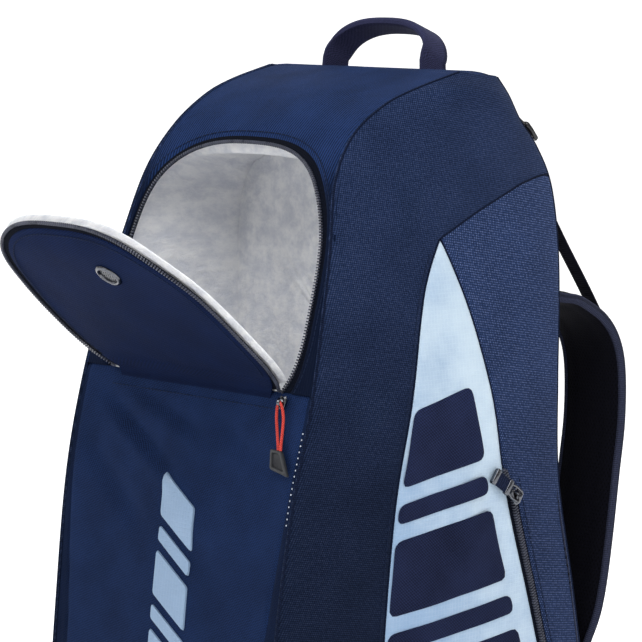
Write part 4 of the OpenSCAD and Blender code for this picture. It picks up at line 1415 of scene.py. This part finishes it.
def build_side_slider(hand_name, hand):
    """A side zip's slider, wire link and webbing tab."""
    f = side_frame(hand)
    put(slider_body(f"side_slider_body_{hand_name}", f, 14, 10.5),
        f"side_slider_{hand_name}", "dark_metal", f"side_slider_{hand_name}")
    g = turned(f, SIDE_PULL_TURN, SIDE_PULL_LIFT)
    ring = rounded([(-4.4, -1.6), (4.4, -1.6), (5.0, 8), (3.4, 14.4), (-3.4, 14.4), (-5.0, 8)], 2.6, 5)
    parts = [ring_loop("loop", g, np.column_stack([ring, np.zeros(len(ring))]), 1.15, M["metal"])]
    parts.append(block("yoke", g, rounded(box(-6.5, 6.5, 12.6, 17), 1.2), -1.7, 1.7, M["metal"], 0.5))
    put(joined(f"side_pull_ring_{hand_name}", parts), f"side_pull_{hand_name}", "dark_metal",
        f"side_pull_link_{hand_name}")
    path = in_frame(g, curve_through([(0, 15.5, 0), (0, 20, 0.2), (0, 26, 0), (0, 31.5, -0.4)], 6))
    tab = sweep("tab", path, ribbon_section(11.5, 2.6), g[1], M["webbing"])
    end = block("end", g, rounded(box(-6.6, 6.6, 29.5, 34), 1.4), -2.0, 1.6, M["metal"], 0.5)
    put(joined(f"side_pull_end_{hand_name}", [tab, end]), f"side_pull_{hand_name}", "navy_webbing",
        f"side_pull_tab_{hand_name}")


def build_lid():
    """The racket lid and the wall round it, with both halves of the zip and its slider."""
    x, s, near = arch_grid(LID, COVER_CUT, 0.3, 0.3, 26, 41)
    depth = ripple(x, s, 70, 71) * 0.6 * smooth(0, 10, near) + seam_dip(near, 0.9, 2)
    put(on_wall("lid_cloth", BACK, x, s, depth, 2.6, M["top"]), "lid", "navy_fabric", "lid")
    half_zip("lid_half", BACK, LID, "lid", as_is)
    put(ring_sheet("back_collar_cloth", BACK, LID, M["top"]), "root", "navy_fabric", "back_collar")
    half_zip("lid_zip", BACK, LID, "root", as_is, "lid_zip")
    f = at_wall(BACK, *LID_SLIDER)
    put(slider_body("lid_slider_body", f, 12, 8.6), "lid_slider", "dark_metal", "lid_slider")
    path = in_frame(f, curve_through([(0, 0.3, 5.6), (0, -5, 6.4), (0, -14, 8.6), (0, -19, 10)], 6))
    grip = rounded([(-3.4, -16), (3.4, -16), (4.6, -24), (3.8, -35), (-3.8, -35), (-4.6, -24)], 2)
    parts = [sweep("neck", path, ribbon_section(4.4, 2.0), f[1], M["gloss"]),
             block("grip", f, grip, 8.6, 12.4, M["gloss"], 0.8)]
    put(joined("lid_pull_end", parts), "lid_pull", "black_rubber", "lid_pull")


# ==================================================================== back
def build_back():
    """The padded back: raised foam pads with channels between them."""
    def pads(x, s):
        channel = 3.2 * np.exp(-(x / 9) ** 2)
        bars = 0
        for level_s in (-560, -430, -300, -170, -60):
            bars = bars + 3.0 * np.exp(-((s - level_s + abs(x) * 0.18) / 8) ** 2)
        edge = smooth(20, 40, half_at(BACK, s) - abs(x))
        return np.minimum(channel + bars, 3.6) * edge + 1.2 * (1 - edge) - 0.4
    obj = wall_sheet("back_cloth", BACK, S_BASE[1], -0.3, M["back"], pads, 9, 6)
    put(obj, "root", "padded_mesh", "back_panel")


def build_inside():
    """The CAD nodes that stay visible, or show through the openings, take a material."""
    for node, look in (("back_board", "plastic"), ("divider_board", "top"), ("base_panel", "rubber")):
        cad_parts[node].data.materials.clear()
        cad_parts[node].data.materials.append(M[look])


# ================================================================== handle
HANDLE_Y, HANDLE_Z = 62, 748
HANDLE_RISE = 37
HANDLE_LEAN = math.radians(22)


def build_handle():
    """One strap of webbing over the ridge, folded and sewn along its middle."""
    half = 57
    arch_at = np.linspace(0, math.pi, 61)
    c = np.cos(arch_at)
    x = half * np.sign(c) * abs(c) ** 0.8
    rise = 1.2 + (HANDLE_RISE - 4.6) * np.sin(arch_at) ** 0.8
    x = np.concatenate([[half + 1, half + 0.5], x[1:-1], [-half - 0.5, -half - 1]])
    rise = np.concatenate([[-6.5, -2.5], rise[1:-1], [-2.5, -6.5]])
    lean = HANDLE_LEAN * smooth(0, 14, rise)
    path = np.stack([x, HANDLE_Y + rise * np.sin(lean), HANDLE_Z + rise * np.cos(lean)], -1)
    side = np.stack([0 * x, np.cos(lean), -np.sin(lean)], -1)
    grip = 1 - smooth(0.5, 0.8, abs(np.linspace(-1, 1, len(path))))
    sections = np.array([ribbon_section(28 - g, 3.0 + 3.6 * g) for g in grip])
    obj = sweep("handle_webbing", path, sections, side, M["handle"])
    start, end = ((0, HANDLE_Y * MM, (HANDLE_Z + up) * MM) for up in (1, 17))
    bends(obj, "navy_webbing", ("handle", "handle_anchor_right", "handle_anchor_left"), "handle",
          start, end)


# =========================================================== shoulder straps
STRAP_X = 88
PAD_W, PAD_T = 62, 11
PAD_PATH = [(152, 562), (163, 560.5), (175, 556), (198, 542), (213, 523), (220, 497), (220, 455),
            (214, 412), (207, 362), (200, 322), (192, 292), (185, 264)]


def strap_path(points, hand):
    """A line in the middle plane of a strap, through places y and z."""
    line = curve_through([(0, y, z) for y, z in points])
    line[:, 0] = STRAP_X * hand
    return line


def build_strap(hand_name, hand):
    """A shoulder strap, with its lifter, lower webbing, ladder lock and anchors."""
    body = f"strap_{hand_name}"

    def strip(name, path, section, look, slot_name, nodes, ends):
        """A strip swept along a path, standing for CAD nodes. It does not bend: the two places in ends,
        y and z, change nothing.
        """
        obj = sweep(f"{name}_{hand_name}", path, section, (1, 0, 0), M[look])
        return bends(obj, slot_name, [f"{node}_{hand_name}" for node in nodes], body,
                     *((STRAP_X * hand * MM, y * MM, z * MM) for y, z in ends))

    path = strap_path([(135, 566), (143, 564)] + PAD_PATH, hand)
    root_ends = (136, 566), (165, 559)
    run = run_of(path)
    total = run[-1]
    halves = PAD_W / 2 * (1 - 0.22 * smooth(total - 46, total, run) ** 1.5)
    c, v = circle(1, 44).T
    sections = []
    for r, w in zip(run, halves):
        t = PAD_T / 2 * (0.45 + 0.55 * smooth(0, 26, r)) * (1 - 0.45 * smooth(total - 30, total, r))
        x = w * np.sign(c) * abs(c) ** 0.55
        y = t * np.sign(v) * abs(v) ** 0.7 * (1 - 0.25 * (abs(x) / w) ** 4)
        channel = 1 - 0.22 * np.exp(-((abs(x) - 14) / 2.2) ** 2) * smooth(20, 40, r)
        sections.append(np.column_stack([x, y * channel]))
    pad = strip("strap_pad_cloth", path, np.array(sections), "mesh", "padded_mesh",
                ("strap_pad", "strap_root"), root_ends)
    # binding round both edges
    for edge_name, sign in (("outer", 1), ("inner", -1)):
        edge = path.copy()
        edge[:, 0] += sign * (halves - 0.6)
        strip(f"strap_binding_{edge_name}", edge[2:], circle(3.2, 10) * [0.8, 1.3],
              "edge", "navy_webbing", (), root_ends)
    # load lifter, from its anchor on the bag to the pad
    path = strap_path([(141.5, 658), (146, 652), (176, 607), (205, 566), (223.5, 538), (227.5, 528),
                       (227.0, 512)], hand)
    strip("load_lifter_webbing", path, ribbon_section(14, 1.6), "lifter", "navy_webbing",
          ("load_lifter",), ((146, 655), (165, 625)))
    # lower webbing through the ladder lock
    path = strap_path([(183.2, 268), (184.2, 257), (186.6, 249), (184.2, 240), (183.4, 228),
                       (182.8, 205), (180.4, 175), (176, 142), (174, 130), (172.4, 120)], hand)
    strip("lower_webbing", path, ribbon_section(25, 1.7), "webbing", "navy_webbing",
          ("strap_webbing",), ((174, 124), (177, 150)))
    # ladder lock: frame and three bars
    o = np.array([STRAP_X * hand, 184.3, 250.0])
    f = (o, np.array([1.0, 0, 0]), np.array([0, 0.035, 0.999]), np.array([0, 0.999, -0.035]))
    bars = ([(box(x - 1.9, x + 1.9, -13, 11), 1.2, -2.4, 2.4, 0.6) for x in (-14.6, 14.6)]
            + [(box(-14, 14, y - 2, y + 2), 0.8, z0, z1, 0.5)
               for y, z0, z1 in ((10.0, -1.8, 1.8), (-1.4, -2.2, 0.6), (-11.8, -1.2, 2.4))])
    parts = [block("bar", f, rounded(outline, corner), z0, z1, M["plastic"], bevel)
             for outline, corner, z0, z1, bevel in bars]
    put(joined(f"ladder_lock_body_{hand_name}", parts), body, "black_plastic",
        f"ladder_lock_{hand_name}")
    # sewn anchors on the bag
    for key, node, s0, s1, w in (("lifter", "lifter_anchor", -26, -2, 20),
                                 ("lower", "strap_anchor", S_BASE[1] + 96, S_BASE[1] + 132, 32)):
        s, u = np.meshgrid(np.linspace(s0, s1, 14), np.linspace(-1, 1, 11), indexing="ij")
        near = np.minimum((1 - abs(u)) * w / 2, np.minimum(s - s0, s1 - s))
        d = -0.7 - 1.4 * smooth(0, 3, near)
        put(on_wall(f"{key}_anchor_patch_{hand_name}", BACK, STRAP_X + u * w / 2, s, d, -0.2 - d,
                    M["webbing"], lambda points: mirrored(points, hand)),
            "root", "navy_webbing", f"{node}_{hand_name}")


# ================================================================ graphics
def resampled(outline, count):
    """A closed outline with evenly spaced points."""
    p = np.vstack([outline, outline[:1]])
    return points_at(p, np.linspace(0, run_of(p)[-1], count, endpoint=False))


def slab_print(name, corners, place, material, lift, corner_r):
    """A solid slanted bar laid on a curved wall: rings of points round its middle."""
    outline = resampled(rounded(corners, corner_r, 6), 80)
    middle = outline.mean(0)
    shares = (0, 0.02, 0.15, 0.32, 0.5, 0.68, 0.84, 0.94)
    rings = [mix(outline, middle, f) for f in shares]
    heights = [0.3] + [1.0] * (len(shares) - 1)
    top = [place(o, lift * h) for o, h in zip(rings, heights)] + [place(middle[None], lift)]
    low = [place(o, -0.1) for o in rings] + [place(middle[None], -0.1)]
    m = len(outline)
    count = len(shares) * m + 1
    faces = quads(len(shares), m, wrap=True) + quads(len(shares), m, count, True, wrap=True)
    last = (len(shares) - 1) * m
    for j in range(m):
        k = (j + 1) % m
        faces += [[last + j, last + k, count - 1], [count + last + k, count + last + j, 2 * count - 1],
                  [k, j, count + j, count + k]]
    uvs = np.concatenate(rings + [middle[None]])
    return make(name, np.concatenate(top + low), faces, material, np.concatenate([uvs, uvs]), 60)


def accent_edge(table, z):
    """y of an edge of the accent panel at a height."""
    t = np.interp(z, ROWS[:, 1], TS)
    for _ in range(12):
        v, s = level(t), float(line_at(table, t))
        t = t + (z - mix(v[1], v[3], s)) / 80
    v = level(t)
    return mix(v[0], v[2], float(line_at(table, t)))


def build_graphics():
    """Plain slanted bars on the accent panels and on the front."""
    for hand_name, hand in HANDS:
        def on_side(o, lift):
            t, s = side_place(o[:, 0], o[:, 1])
            panel = uneven(s * side_width(t), t * SIDE_RISE, *ACCENT_UNEVEN)
            return mirrored(side_pt(t, s, panel - lift), hand)
        parts = []
        z = 500  # the first bar's top, about
        for height in (58, 15) * 3 + (58,):
            corners = [(accent_edge(table, at) + inset, at) for table, inset, at in (
                (ACCENT_FRONT, 2.5, z - 6), (ACCENT_REAR, -22, z + 8),
                (ACCENT_REAR, -22, z + 8 - height), (ACCENT_FRONT, 2.5, z - 6 - height))]
            parts.append(slab_print("bar", corners, on_side, M["graphic"], 0.7, 7))
            z -= height + 13
        put(joined(f"side_graphic_{hand_name}", parts), "root", "navy_fabric")

    def on_front(o, lift):
        x, s = o[:, 0], o[:, 1]
        return wall_pt(FRONT, x, s, front_fold(x, s) - lift)
    parts = []
    s = -88  # the first bar's top, about
    for height in (34, 11) * 4:
        corners = [(-10, s + 14), (30, s - 10), (30, s - 10 - height), (-10, s + 14 - height)]
        parts.append(slab_print("bar", corners, on_front, M["print"], 1.5, 2.5))
        s -= height + 8
    put(joined("front_graphic", parts), "root", "accent_fabric")


def build_stage():
    """A pale floor that curves up into a backdrop, and soft studio light."""
    profile = [(-9, 0)] + [(3.5 + 1.5 * math.sin(a), 1.5 - 1.5 * math.cos(a))
                           for a in np.linspace(0, math.pi / 2, 16)] + [(5.0, 7)]
    right, ahead = camera_axes()
    pts = np.array([[ahead * y + right * x + [0, 0, z] for x in (-9, 9)] for y, z in profile]) / MM
    p = Paint("studio", (0.86, 0.865, 0.875), rough=0.95, sheen=0)
    p.finish(p.tint(p.noise(p.place(), 0.8, 2), (0.85, 0.855, 0.865), (0.87, 0.875, 0.885)))
    p.bsdf.inputs["Emission Color"].default_value = (1, 1, 1, 1)
    p.bsdf.inputs["Emission Strength"].default_value = 0.62
    floor = make("studio_floor", pts, quads(len(profile), 2), p.mat, sharp=60)
    world = bpy.data.worlds.new("studio")
    bpy.context.scene.world = world
    world.use_nodes = True
    colour, strength = world.node_tree.nodes["Background"].inputs[:2]
    colour.default_value, strength.default_value = (1.0, 1.0, 1.0, 1), 0.26
    for name, angle, distance, height, size, power in (
            ("key", 40, 1.5, 2.1, 1.0, 21),
            ("fill", -42, 2.2, 1.7, 1.4, 23),
            ("low", -4, 2.4, 0.95, 1.0, 4),
            ("top", 70, 0.8, 2.2, 1.2, 8),
            ("side", 100, 2.4, 1.9, 1.4, 12),
            ("rim", 190, 2.6, 1.8, 1.8, 26)):
        data = bpy.data.lights.new(name, "AREA")
        data.size = size
        data.energy = power
        light = bpy.data.objects.new(name, data)
        bpy.context.scene.collection.objects.link(light)
        a = math.radians(angle)
        light.location = (distance * math.sin(a), -distance * math.cos(a), height)
        light.rotation_mode = "QUATERNION"
        light.rotation_quaternion = (Vector((0, 0, 0.66)) - light.location).to_track_quat("-Z", "Y")
    bpy.context.scene.view_settings.view_transform = "Standard"


build_front()
build_collar()
build_ridge()
build_shoe_lining()
build_flap()
build_eyelet()
build_shoe_slider()
for side_name, side_hand in HANDS:
    build_side(side_name, side_hand)
    build_side_slider(side_name, side_hand)
    build_strap(side_name, side_hand)
build_lid()
build_back()
build_inside()
build_handle()
build_graphics()
build_stage()
